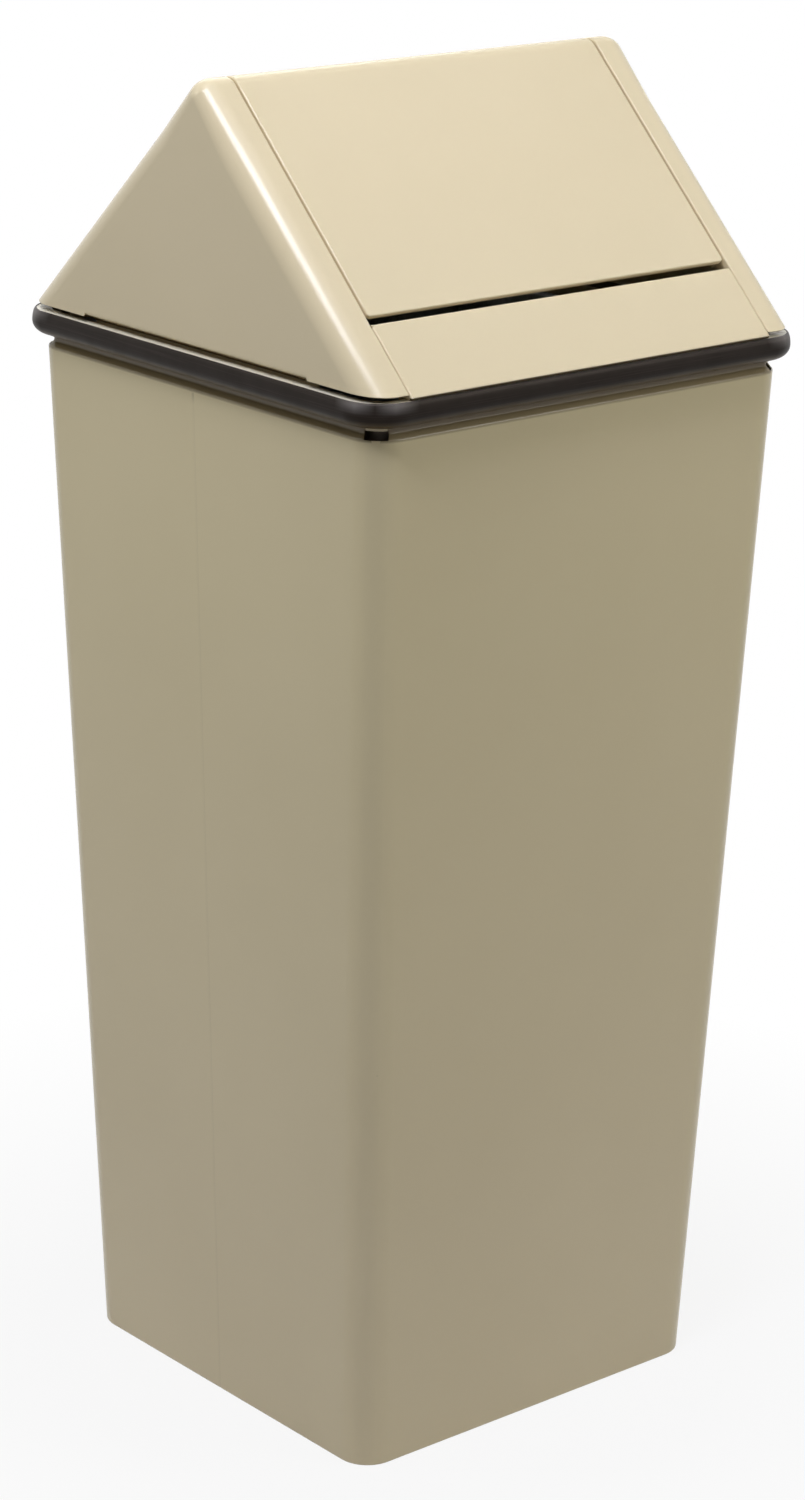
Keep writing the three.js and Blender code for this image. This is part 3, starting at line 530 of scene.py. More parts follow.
def black_vinyl():
    """Extruded vinyl: fine lines along it, a soft bloom, a painted reflection under it and painted
    highlights at the corners.
    """
    black, bloomed, lined = (0.008, 0.0055, 0.004), (0.015, 0.011, 0.009), (0.026, 0.019, 0.017)
    painted_underside_reflection, painted_corner_highlight = (0.088, 0.058, 0.022), (0.19, 0.172, 0.162)
    finish = Finish("black_vinyl", (0.014, 0.01, 0.009), 0.42)
    finish.shader.inputs["Specular IOR Level"].default_value = 0.15
    finish.shader.inputs["Specular Tint"].default_value = (1, 0.84, 0.72, 1)
    bloom = finish.spread(finish.noise(30.0, 4.0, 0.6), 0.35, 0.7, 0, 1)
    lines = finish.noise(12.0, 3.0, 0.5, stretch=(1, 1, 90))
    colour = finish.shade(bloom, black, bloomed)
    colour = finish.shade(finish.spread(lines, 0.52, 0.64, 0, 0.6), colour, lined)

    x, y, z = finish.axes()
    # Painted reflection: the underside is lighter and browner.
    colour = finish.shade(finish.change(z, BUMPER_UNDERSIDE_Z, 1, 0), colour, painted_underside_reflection)
    # Painted highlights: two soft lighter patches on each corner's upper bulge, one to each side of
    # the diagonal.
    from_corner = finish.math("ABSOLUTE", finish.math(
        "SUBTRACT", finish.math("ABSOLUTE", x), finish.math("ABSOLUTE", y)))
    patch = finish.product(finish.near(from_corner, HIGHLIGHT_PLACE, HIGHLIGHT_REACH),
                           finish.near(z, HIGHLIGHT_Z, HIGHLIGHT_HEIGHT), 0.95)
    finish.set_colour(finish.shade(patch, colour, painted_corner_highlight))

    finish.set_roughness(finish.spread(finish.noise(55.0, 3.0), 0.3, 0.7, 0.33, 0.45))
    finish.bump((lines, 0.03), (finish.noise(900.0, 1.0), 0.01))
    return finish.material


def galvanised_steel():
    """Hot-dip zinc: spangles of slightly different tone and gloss, painted shade at the corners
    below the rim.
    """
    dark_facet, light_facet = (0.5, 0.495, 0.48), (0.62, 0.615, 0.595)
    streak, painted_window_shade = (0.43, 0.425, 0.41), (0.12, 0.075, 0.04)
    finish = Finish("galvanised_steel", (0.53, 0.525, 0.505), 0.45, 0.9)
    split = finish.node("ShaderNodeSeparateColor")
    finish.join(finish.cells(95.0).outputs["Color"], split.inputs["Color"])
    facet, gloss = split.outputs[0], split.outputs[1]
    streaks = finish.noise(160.0, 3.0, 0.6, stretch=(1, 1, 0.25))
    colour = finish.shade(facet, dark_facet, light_facet)
    colour = finish.shade(finish.spread(streaks, 0.4, 0.75, 0, 0.35), colour, streak)

    x, y, z = finish.axes()
    from_axis = finish.math("ADD", finish.math("ABSOLUTE", x), finish.math("ABSOLUTE", y))
    # Painted shade: the liner's corners below the rim, seen through the body's corner windows, are
    # darkened.
    window_shade_mask = finish.product(finish.change(from_axis, LINER_CORNER_OUT, 0, 1),
                           finish.band(z, LINER_SHADE_Z, 4), 0.8)
    finish.set_colour(finish.shade(window_shade_mask, colour, painted_window_shade))

    finish.set_roughness(finish.spread(gloss, 0, 1, 0.34, 0.55))
    finish.bump((finish.noise(6.0, 1.0), 0.4), (finish.noise(500.0, 2.0), 0.01))
    return finish.material


def zinc_plate():
    """Bright zinc with fine draw marks."""
    finish = Finish("zinc_plate", (0.66, 0.67, 0.66), 0.28, 1.0)
    tone = finish.noise(240.0, 3.0, 0.6)
    finish.set_colour(finish.shade(tone, (0.58, 0.585, 0.57), (0.74, 0.75, 0.74)))
    finish.set_roughness(finish.spread(finish.noise(700.0, 2.0), 0.3, 0.7, 0.22, 0.38))
    finish.bump((finish.noise(1500.0, 2.0), 0.006))
    return finish.material


def white_nylon():
    """Turned nylon, slightly translucent."""
    finish = Finish("white_nylon", (0.8, 0.78, 0.71), 0.45)
    finish.shader.inputs["Subsurface Weight"].default_value = 0.2
    finish.shader.inputs["Subsurface Scale"].default_value = 1.5 * MM
    tone = finish.noise(300.0, 2.0)
    finish.set_colour(finish.shade(tone, (0.77, 0.745, 0.67), (0.83, 0.81, 0.75)))
    finish.bump((finish.noise(1800.0, 1.0), 0.01))
    return finish.material


# ---- Square rings --------------------------------------------------------------------------

CORNERS = ((1, 1), (-1, 1), (-1, -1), (1, -1))


def corner_angles(count):
    """Angles over a quarter turn in equal steps."""
    return [math.pi / 2 * share for share in steps(count)]


def square_ring(half, centre, z, angles):
    """One level of a square tube, with corner arcs about centres at (centre, centre)."""
    ring = []
    for index, (sign_x, sign_y) in enumerate(CORNERS):
        for angle in angles:
            turned = angle + index * math.pi / 2
            x = sign_x * centre + (half - centre) * math.cos(turned)
            y = sign_y * centre + (half - centre) * math.sin(turned)
            ring.append((x, y, z))
    return ring


# ---- Receptacle body -----------------------------------------------------------------------

WINDOW_COLUMNS = 12
WINDOW_SIDE_COLUMNS = 3


def body_centre(z):
    """How far the wrap's corner centres lie from the axis at a height."""
    wall = BASE_HALF - BODY_CORNER + BODY_TAPER * min(z, WALL_TOP_Z)
    neck = NECK_HALF - NECK_CORNER
    share = min(max((z - WALL_TOP_Z) / SHOULDER_HEIGHT, 0), 1)
    return wall + (neck - wall) * share


def with_levels(line, levels):
    """Adds points to a line where it crosses the given heights."""
    full = [line[0]]
    for (u0, v0), (u1, v1) in zip(line, line[1:]):
        crossed = sorted(z for z in levels if min(v0, v1) + 1e-6 < z < max(v0, v1) - 1e-6)
        for z in crossed if v1 > v0 else reversed(crossed):
            full.append((u0 + (u1 - u0) * (z - v0) / (v1 - v0), z))
        full.append((u1, v1))
    return full


def wrap_angles(half, centre):
    """Angles round a corner, with one at each side of the relief window and more across it."""
    reach = math.asin(min(WINDOW_WIDTH / 2 / (half - centre), 0.95))
    low, high = math.pi / 4 - reach, math.pi / 4 + reach
    before = [low * share for share in steps(WINDOW_SIDE_COLUMNS)]
    across = [low + (high - low) * share for share in steps(WINDOW_COLUMNS)][1:]
    after = [high + (math.pi / 2 - high) * share for share in steps(WINDOW_SIDE_COLUMNS)][1:]
    return before + across + after


def body_wrap(material):
    """The tapered wrap with its weld seam, recessed neck, corner windows and rim flange."""
    line = bent_line([
        (BASE_HALF - BASE_LEDGE, 0, 0),
        (BASE_HALF, 0, BASE_BEND),
        (WALL_TOP_HALF, WALL_TOP_Z, SHOULDER_BEND),
        (NECK_HALF, WALL_TOP_Z + SHOULDER_HEIGHT, SHOULDER_BEND),
        (NECK_HALF, RIM_Z - BODY_SHEET, FLANGE_BEND),
        (FLANGE_HALF, RIM_Z - BODY_SHEET, 0),
    ])
    line = with_levels(line, WINDOW_Z)
    corner_count = len(wrap_angles(line[0][0], body_centre(0)))
    points = []
    for half, z in line:
        centre = body_centre(z)
        ring = square_ring(half, centre, z, wrap_angles(half, centre))
        seam = [(-half, SEAM_Y + SEAM_WIDTH / 2, z),
                (SEAM_DEPTH - half, SEAM_Y + SEAM_WIDTH / 6, z),
                (SEAM_DEPTH - half, SEAM_Y - SEAM_WIDTH / 6, z),
                (-half, SEAM_Y - SEAM_WIDTH / 2, z)]
        points += ring[:2 * corner_count] + seam + ring[2 * corner_count:]
    columns = 4 * corner_count + len(seam)
    window_columns = set()
    for corner in range(4):
        first = corner * corner_count + (len(seam) if corner > 1 else 0) + WINDOW_SIDE_COLUMNS
        window_columns.update(range(first, first + WINDOW_COLUMNS))
    faces = []
    for index, face in enumerate(grid_faces(len(line), columns, wrap_columns=True)):
        row, column = divmod(index, columns)
        in_window = WINDOW_Z[0] - 0.01 < line[row][1] and line[row + 1][1] < WINDOW_Z[1] + 0.01
        if not (in_window and column in window_columns):
            faces.append(face)
    piece = make_object("body_wrap", points, faces, inside=(0, 0, 350))
    round_edges(thicken(piece, BODY_SHEET))
    return fit(piece, "receptacle", "almond_paint", material, "body_shell")


def bumper_ring(material):
    """The vinyl bumper, one extrusion bent round the rim with its ends butting at the rear."""
    mid_z = (BUMPER_TOP_Z + BUMPER_LOW_Z) / 2
    tall = (BUMPER_TOP_Z - BUMPER_LOW_Z) / 2
    lip = BUMPER_HALF - BUMPER_TOP_RUN
    under = BUMPER_HALF - BUMPER_UNDER_RUN
    inner = BUMPER_HALF - BUMPER_WALL

    def ellipse(centre, run, height, start, end, count):
        """Points on an arc of an ellipse about the section's middle height."""
        arc = arc_points((0, 0), 1, start, end, count)
        return [(centre + run * u, mid_z + height * v) for u, v in arc]

    lip_z = RIM_Z + BUMPER_LIP_GAP
    chamfer_out, chamfer_up = BUMPER_LIP_CHAMFER
    outline = [(BUMPER_LIP_HALF, lip_z + chamfer_up),
               (BUMPER_LIP_HALF + chamfer_out, BUMPER_TOP_Z - BUMPER_LIP_DROP)]
    outline += ellipse(lip, BUMPER_TOP_RUN, tall, 86, 0, 12)
    outline += ellipse(under, BUMPER_UNDER_RUN, tall, 0, -90, 14)[1:]
    outline += [(BUMPER_NECK_EDGE + BUMPER_LOW_CHAMFER, BUMPER_LOW_Z),
                (BUMPER_NECK_EDGE, BUMPER_LOW_Z + BUMPER_LOW_CHAMFER),
                (BUMPER_NECK_EDGE, BUMPER_LOW_Z + BUMPER_WALL)]
    outline += ellipse(under, BUMPER_UNDER_RUN - BUMPER_WALL, tall - BUMPER_WALL, -90, 0, 8)
    outline += [(inner, lip_z), (BUMPER_LIP_HALF, lip_z)]
    centre = NECK_HALF - NECK_CORNER
    angles = corner_angles(18)
    butt = BUMPER_BUTT_GAP / 2
    points = []
    for half, z in outline:
        ring = square_ring(half, centre, z, angles)
        count = len(angles)
        points += [(-butt, half, z)] + ring[count:] + ring[:count] + [(butt, half, z)]
    columns = 4 * len(angles) + 2
    faces = grid_faces(len(outline), columns, wrap_rows=True)
    faces.append(tuple(row * columns for row in range(len(outline))))
    faces.append(tuple(row * columns + columns - 1 for row in reversed(range(len(outline)))))
    piece = make_object("bumper_ring", points, faces)
    round_edges(piece, FINE_ROUNDING, angle=50)
    return fit(piece, "receptacle", "black_vinyl", material, "rim_bumper")


# ---- Roof geometry -------------------------------------------------------------------------

def roof_at(along, depth):
    """The point (y, z) at a distance along the roof's section from the ridge, under its face."""
    lean = max(-ROOF_ANGLE, min(ROOF_ANGLE, along / RIDGE_RADIUS))
    straight = along - max(-RIDGE_ARC, min(RIDGE_ARC, along))
    y = (RIDGE_RADIUS - depth) * math.sin(lean) + straight * SLOPE_Y
    z = RIDGE_Z + (RIDGE_RADIUS - depth) * math.cos(lean) - abs(straight) * SLOPE_Z
    return y, z


def along_of(slope):
    """The distance along the section for a distance down the slope from the sharp apex."""
    return slope - RIDGE_TANGENT + RIDGE_ARC


def roof_point(slope, depth):
    """The point (y, z) on the front slope."""
    return roof_at(-along_of(slope), depth)


# ---- Hood ----------------------------------------------------------------------------------

def cap_stations():
    """Places along the gable outline as (side, share of the ridge arc, share of the slope)."""
    slope = steps(10)[1:]
    leans = [2 * share - 1 for share in steps(20)]
    front = [(-1, 1, share) for share in reversed(slope)]
    ridge = [(math.copysign(1, lean), abs(lean), 0) for lean in leans]
    rear = [(1, 1, share) for share in slope]
    return front + ridge + rear


def end_cap(side, material):
    """A stamped gable end: return flange, seam bend, roof edge, rolled edge, gable face and tab."""
    stations = cap_stations()

    def place(station, x, depth):
        """The point of a station at a distance along X, under the roof's face."""
        sign, ridge_share, slope_share = station
        foot = (RIDGE_Z + (RIDGE_RADIUS - depth) * SLOPE_Y - CAP_CUT_Z) / SLOPE_Z
        y, z = roof_at(sign * (ridge_share * RIDGE_ARC + slope_share * foot), depth)
        return side * x, y, z

    def from_ridge(at_ridge, station):
        """A size of the rolled edge, growing from the ridge to the slope."""
        return at_ridge + (CAP_EDGE_FOOT - at_ridge) * min(station[2] / CAP_EDGE_GROWTH, 1)

    rows = [[place(station, SEAM_HALF, CAP_RETURN) for station in stations]]
    for share in steps(6):
        angle = math.pi / 2 * share
        x = SEAM_HALF + SEAM_BEND * (1 - math.cos(angle))
        depth = SEAM_BEND * (1 - math.sin(angle))
        rows.append([place(station, x, depth) for station in stations])
    for share in steps(18):
        angle = math.pi / 2 * share
        row = []
        for station in stations:
            run = from_ridge(CAP_EDGE_RUN_RIDGE, station) * (1 - math.sin(angle))
            depth = from_ridge(CAP_EDGE_DEPTH_RIDGE, station) * (1 - math.cos(angle))
            row.append(place(station, GABLE_HALF - run, depth))
        rows.append(row)
    points = [point for row in rows for point in row]
    columns = len(stations)
    faces = grid_faces(len(rows), columns)
    tab = bent_line([
        (GABLE_HALF, TAB_BEND_Z + TAB_UPPER_BEND, 0),
        (GABLE_HALF, TAB_BEND_Z, TAB_UPPER_BEND),
        (SKIRT_HALF, TAB_FOOT_Z, TAB_LOWER_BEND),
        (SKIRT_HALF, SKIRT_LOW_Z, 0),
    ])
    last = (len(rows) - 1) * columns
    first_tab = len(points)
    points += [(side * x, y, z) for x, z in tab for y in (-TAB_HALF, TAB_HALF)]
    corners = len(points)
    points += [(side * GABLE_HALF, y, CAP_CUT_Z) for y in (-TAB_HALF, TAB_HALF)]
    gable = list(range(last, last + columns)) + [corners + 1, first_tab + 1, first_tab, corners]
    faces.append(tuple(gable))
    faces += [tuple(first_tab + i for i in face) for face in grid_faces(len(tab), 2)]
    name = "left" if side < 0 else "right"
    piece = make_object(f"gable_end_{name}", points, faces, inside=(side * 150, 0, 800))
    round_edges(thicken(piece, HOOD_SHEET))
    return fit(piece, "hood", "almond_paint", material, f"end_cap_{name}")


def fascia(side, material):
    """The sloped strip under the door, with its return, lip, skirt and end flanges."""
    top = ROOF_SLOPE - FASCIA_SLOPE
    tip_y, tip_z = roof_point(top, FASCIA_RETURN)
    edge_y, edge_z = roof_point(top, 0)
    line = bent_line([
        (tip_y, tip_z, 0),
        (edge_y, edge_z, FASCIA_TOP_BEND),
        (-FOOT_CORNER, LIP_Z, FOOT_BEND),
        (-SKIRT_HALF, LIP_Z, FASCIA_SKIRT_BEND),
        (-SKIRT_HALF, SKIRT_LOW_Z, 0),
    ], FASCIA_BEND_STEPS)
    end = SEAM_HALF - FASCIA_GAP
    points = []
    for index, (y, z) in enumerate(line):
        reach = end - (FASCIA_END_BEND if index in FASCIA_FACE_ROWS else FASCIA_END_SETBACK)
        points += [(-reach, y, z), (reach, y, z)]
    faces = grid_faces(len(line), 2)
    top_along = along_of(top + FASCIA_END_TOP)
    low_along = along_of(ROOF_SLOPE - FASCIA_END_LOW)
    for sign in (-1, 1):
        profile = [(end - FASCIA_END_BEND * (1 - math.sin(math.pi / 2 * share)),
                    FASCIA_END_BEND * (1 - math.cos(math.pi / 2 * share))) for share in steps(5)]
        profile.append((end, FASCIA_END))
        start = len(points)
        for x, depth in profile:
            low = low_along if depth < FASCIA_END else low_along - FASCIA_END
            for along in (top_along, low):
                y, z = roof_at(-along, depth)
                points.append((sign * x, y, z))
        faces += [tuple(start + i for i in face) for face in grid_faces(len(profile), 2)]
    points = [(x, y * -side, z) for x, y, z in points]
    name = "front" if side < 0 else "rear"
    piece = make_object(f"fascia_strip_{name}", points, faces, inside=(0, 0, 800))
    round_edges(thicken(piece, HOOD_SHEET))
    return fit(piece, "hood", "almond_paint", material, f"fascia_{name}")


# ---- Door ----------------------------------------------------------------------------------

def door_panel(material):
    """The folded door: a pan over the ridge with rounded edges and corners all round."""
    length = along_of(DOOR_LOW)
    bends = [share * (length - DOOR_CORNER) for share in steps(12)]
    ridge = [RIDGE_ARC * share for share in steps(12)]
    half_stations = sorted(set(ridge + [b for b in bends if b > RIDGE_ARC]))
    stations = [-a for a in reversed(half_stations[1:])] + half_stations

    def chain(inset):
        """The right side of the outline, from the front corner to the rear one."""
        radius = DOOR_CORNER - inset
        centre = (DOOR_HALF - DOOR_CORNER, length - DOOR_CORNER)
        front = arc_points((centre[0], -centre[1]), radius, -90, 0, 6)
        rear = arc_points(centre, radius, 0, 90, 6)
        return front[:-1] + [(DOOR_HALF - inset, a) for a in stations] + rear[1:]

    def ring(inset, depth_at):
        """The whole outline, inset on the face and set under it."""
        right = chain(inset)
        outline = right + [(-x, a) for x, a in reversed(right)]
        return [(x, *roof_at(a, depth_at(a))) for x, a in outline]

    rings = []
    for share in steps(6):
        angle = math.pi / 2 * share
        depth = DOOR_EDGE_BEND * (1 - math.cos(angle))
        rings.append(ring(DOOR_EDGE_BEND * (1 - math.sin(angle)), lambda a, depth=depth: depth))
    rings.append(ring(0, lambda a: DOOR_LIP if abs(a) > length - DOOR_CORNER else DOOR_FLANGE))
    points = [point for each in rings for point in each]
    columns = len(rings[0])
    faces = grid_faces(len(rings), columns, wrap_columns=True)
    for i in range(columns // 2 - 1):
        faces.append((i, i + 1, columns - 2 - i, columns - 1 - i))
    piece = make_object("door_panel", points, faces, inside=(0, 0, 850))
    round_edges(thicken(piece, DOOR_SHEET))
    return fit(piece, "door", "almond_paint", material, "swing_door")


# ---- Liner ---------------------------------------------------------------------------------

def liner_centre(z):
    """How far the tub's corner centres lie from the axis at a height."""
    return LINER_BASE_HALF - LINER_CORNER + LINER_TAPER * max(z - LINER_LOW_Z, 0)


def liner_tub(material):
    """The lift-out tub, one closed skin with a rolled rim."""
    bend = LINER_BOTTOM_BEND
    outer = arc_points((LINER_BASE_HALF - bend, LINER_LOW_Z + bend), bend, -90, 0, 6)
    inner_bend = bend - LINER_SHEET
    inner = arc_points((LINER_BASE_HALF - bend, LINER_LOW_Z + bend), inner_bend, 0, -90, 6)
    centre = LINER_TOP_HALF - LINER_SHEET + LINER_BEAD
    turn = math.degrees(LINER_CURL)
    curl_in = arc_points((centre, LINER_RIM_Z), LINER_BEAD - LINER_SHEET, 180, 180 - turn, 20)
    curl_out = arc_points((centre, LINER_RIM_Z), LINER_BEAD, 180 - turn, 180, 20)
    levels = outer + curl_in + curl_out + inner
    angles = corner_angles(14)
    points = []
    for half, z in levels:
        points += square_ring(half, min(liner_centre(z), half - 0.2), z, angles)
    columns = 4 * len(angles)
    faces = grid_faces(len(levels), columns, wrap_columns=True)
    faces.append(tuple(range(columns)))
    last = (len(levels) - 1) * columns
    faces.append(tuple(last + i for i in reversed(range(columns))))
    piece = make_object("liner_skin", points, faces)
    round_edges(piece, 0.1, angle=60)
    return fit(piece, "liner", "galvanised_steel", material, "liner_tub")


# ---- Turned and bent small pieces ----------------------------------------------------------

def lathe(name, profile, place, sides):
    """A profile of (radius, distance along X), turned about X and put in place by a matrix."""
    points = []
    for radius, along in profile:
        for k in range(sides):
            angle = 2 * math.pi * k / sides
            point = Vector((along, radius * math.cos(angle), radius * math.sin(angle)))
            points.append(place @ point)
    faces = grid_faces(len(profile), sides, wrap_rows=True, wrap_columns=True)
    return round_edges(make_object(name, points, faces), FINE_ROUNDING)


def handed(side, y, z):
    """A place on the hinge side of the hood, mirrored for the left."""
    return Matrix.Diagonal((side, 1, 1, 1)) @ Matrix.Translation((0, y, z))


def rivet(name, head, tail, place, body, material):
    """A pressed rivet: domed head, shank and flattened tail."""
    dome = [(RIVET_HEAD * math.sin(angle), head - RIVET_RISE * math.cos(angle))
            for angle in corner_angles(8)]
    foot = [(RIVET_FOOT, tail), (RIVET_FOOT, tail + RIVET_FOOT_RISE), (0, tail + RIVET_FOOT_RISE)]
    profile = dome + [(RIVET_RADIUS, head), (RIVET_RADIUS, tail)] + foot
    fit(lathe(f"{name}_turned", profile, place, 24), body, "zinc_plate", material, name)


def hinge_side(side, metal, plastic):
    """The pivot pin, the bush and the four rivets at one end of the hood."""
    name = "left" if side < 0 else "right"
    head_low, head = PIN_HEAD_X
    pin = [(0, head_low), (PIN_HEAD, head_low), (PIN_HEAD, head), (PIN_RADIUS, head),
           (PIN_RADIUS, PIN_END_X - PIN_CHAMFER), (PIN_RADIUS - PIN_CHAMFER, PIN_END_X),
           (0, PIN_END_X)]
    turned = lathe(f"pin_turned_{name}", pin, handed(side, 0, PIVOT_Z), 40)
    fit(turned, "door", "zinc_plate", metal, f"pivot_pin_{name}")
    low, flange, high = BUSH_X
    bush = [(BUSH_BORE, low), (BUSH_FLANGE, low), (BUSH_FLANGE, flange), (BUSH_BARREL, flange),
            (BUSH_BARREL, high), (BUSH_BORE, high)]
    turned = lathe(f"bush_turned_{name}", bush, handed(side, 0, PIVOT_Z), 40)
    fit(turned, "hood", "white_nylon", plastic, f"pivot_bush_{name}")
    for wall, sign in (("front", 1), ("rear", -1)):
        y, z = roof_point(BRACKET_RIVET_SLOPE, HOOD_RIVET_DEPTH)
        rivet(f"bracket_rivet_{name}_{wall}", SEAM_HALF - SEAT_GAP, BRACKET_TAIL_X,
              handed(side, y * sign, z), "hood", metal)
        y, z = roof_point(GUSSET_RIVET_SLOPE, HOOD_RIVET_DEPTH)
        rivet(f"gusset_rivet_{name}_{wall}", GUSSET_X0 - SEAT_GAP, DOOR_HALF + SEAT_GAP,
              handed(side, y * sign, z), "door", metal)


def ear_place(wall, side):
    """Ear frame: origin on the liner wall at the pivot, X along the wall, Y into the liner."""
    turn = 0 if wall == "front" else math.pi
    sign = -1 if (side == "left") == (wall == "front") else 1
    inner = LINER_BASE_HALF + LINER_TAPER * (BAIL_PIVOT_Z - LINER_LOW_Z) - LINER_SHEET
    return (Matrix.Rotation(turn, 4, "Z") @ Matrix.Translation((sign * EAR_X, -inner, BAIL_PIVOT_Z))
            @ Matrix.Rotation(math.atan(LINER_TAPER), 4, "X"))


def bail_ear(wall, side, steel, metal):
    """A riveted ear: a round-cornered plate with a strap that rolls round the bail's end."""
    place = ear_place(wall, side)
    near, far = SEAT_GAP, SEAT_GAP + EAR_SHEET
    middle, tall = (EAR_TOP + EAR_LOW) / 2, (EAR_TOP - EAR_LOW) / 2
    plate = []
    for u, v, start in ((1, 1, 0), (-1, 1, 90), (-1, -1, 180), (1, -1, 270)):
        centre = (u * (EAR_HALF - EAR_CORNER), middle + v * (tall - EAR_CORNER))
        plate += arc_points(centre, EAR_CORNER, start, start + 90, 6)
    barrel = (EAR_STANDOFF, 0)
    root = far - EAR_STRAP_OVERLAP
    strap = [(root, -EAR_BARREL)] + arc_points(barrel, EAR_BARREL, -90, 200, 28)
    strap += arc_points(barrel, EAR_BORE, 200, -90, 28) + [(root, -EAR_BORE)]
    points = [Vector((u, y, v)) for y in (near, far) for u, v in plate]
    points += [Vector((x, y, z)) for x in (-EAR_BARREL_HALF, EAR_BARREL_HALF) for y, z in strap]
    faces = []
    for start, count in ((0, len(plate)), (2 * len(plate), len(strap))):
        sides = grid_faces(2, count, wrap_columns=True)
        faces += [tuple(start + i for i in face) for face in sides]
        faces += [tuple(range(first, first + count)) for first in (start, start + count)]
    ear = round_edges(make_object(f"ear_{wall}_{side}", [place @ p for p in points], faces))
    fit(ear, "liner", "galvanised_steel", steel, f"bail_ear_{wall}_{side}")
    for number, x in ((1, -EAR_RIVET_X), (2, EAR_RIVET_X)):
        spot = (place @ Matrix.Translation((x, 0, EAR_RIVET_Z))
                @ Matrix.Rotation(-math.pi / 2, 4, "Z"))
        rivet(f"ear_rivet_{wall}_{side}_{number}", -SEAT_GAP * 2 - EAR_SHEET,
              LINER_SHEET + SEAT_GAP, spot, "liner", metal)


def bail(wall, metal):
    """A drop handle of round wire, hanging from its ears."""
    pivot = ear_place(wall, "left") @ Vector((0, EAR_STANDOFF, 0))
    line = bent_line([
        (-BAIL_END, 0, 0),
        (-BAIL_HALF, 0, BAIL_END_BEND),
        (-BAIL_HALF, -BAIL_REACH, BAIL_GRIP_BEND),
        (BAIL_HALF, -BAIL_REACH, BAIL_GRIP_BEND),
        (BAIL_HALF, 0, BAIL_END_BEND),
        (BAIL_END, 0, 0),
    ], 10)
    first, last = Vector(line[0]), Vector(line[-1])
    chamfer = Vector((BAIL_CHAMFER, 0))
    stations = [(first, BAIL_WIRE - BAIL_CHAMFER), (first + chamfer, BAIL_WIRE)]
    stations += [(Vector(point), BAIL_WIRE) for point in line[1:-1]]
    stations += [(last - chamfer, BAIL_WIRE), (last, BAIL_WIRE - BAIL_CHAMFER)]
    sides = 24
    points = []
    for i, (here, radius) in enumerate(stations):
        before, after = stations[max(i - 1, 0)][0], stations[min(i + 1, len(stations) - 1)][0]
        along = (after - before).normalized()
        for k in range(sides):
            angle = 2 * math.pi * k / sides
            across = radius * math.cos(angle)
            points.append((here.x - along.y * across, pivot.y + radius * math.sin(angle),
                           pivot.z + here.y + along.x * across))
    faces = grid_faces(len(stations), sides, wrap_columns=True)
    faces += [tuple(range(sides)), tuple(range(len(points) - sides, len(points)))]
    wire = make_object(f"bail_wire_{wall}", points, faces)
    fit(wire, f"bail_{wall}", "zinc_plate", metal, f"bail_{wall}")


def rim_wire(metal):
    """The wire inside the liner's rolled rim."""
    centre = LINER_TOP_HALF - LINER_SHEET + LINER_BEAD
    section = arc_points((centre, LINER_RIM_Z), RIM_WIRE, 0, 360, 16)[:-1]
    angles = corner_angles(14)
    points = []
    for half, z in section:
        points += square_ring(half, liner_centre(LINER_RIM_Z), z, angles)
    faces = grid_faces(len(section), 4 * len(angles), wrap_rows=True, wrap_columns=True)
    wire = make_object("rim_wire_round", points, faces)
    fit(wire, "liner", "zinc_plate", metal, "liner_rim_wire")


def bottom_pan(material):
    """The bottom panel, pressed up in the middle, lying on the wrap's ledge."""
    edge = BASE_HALF - BODY_SHEET - PAN_CLEARANCE
    rim = edge - PAN_RIM
    middle = rim - PAN_RUN
    low = BODY_SHEET + SEAT_GAP

    def face(z):
        """One side of the panel, from its raised middle to its edge."""
        return bent_line([
            (middle - PAN_FLAT, z + PAN_RISE, 0),
            (middle, z + PAN_RISE, PAN_BEND),
            (rim, z, PAN_BEND),
            (edge, z, 0),
        ])

    levels = face(low) + list(reversed(face(low + BODY_SHEET)))
    angles = corner_angles(14)
    points = []
    for half, z in levels:
        points += square_ring(half, min(BASE_HALF - BODY_CORNER, half - 0.9), z, angles)
    columns = 4 * len(angles)
    faces = grid_faces(len(levels), columns, wrap_columns=True)
    last = len(points) - columns
    faces += [tuple(range(columns)), tuple(range(last, last + columns))]
    pan = round_edges(make_object("pressed_bottom", points, faces), FINE_ROUNDING)
    fit(pan, "receptacle", "almond_paint", material, "bottom_pan")


# ---- Solids that keep their shape ----------------------------------------------------------

def keep_solid(node, material):
    """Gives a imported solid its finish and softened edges, and leaves its shape."""
    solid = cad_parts[node]
    solid.data.materials.clear()
    solid.data.materials.append(material)
    weld = solid.modifiers.new("weld", "WELD")
    weld.merge_threshold = 0.005 * MM
    round_edges(solid, angle=40)


# ---- Stage ---------------------------------------------------------------------------------

PAPER = (0.63, 0.63, 0.63)
FLOOR_REACH = 6.0
SHADOW_FADE = (0.25, 0.7)
SHADOW_FADE_WHITE = (0.88, 1.0)


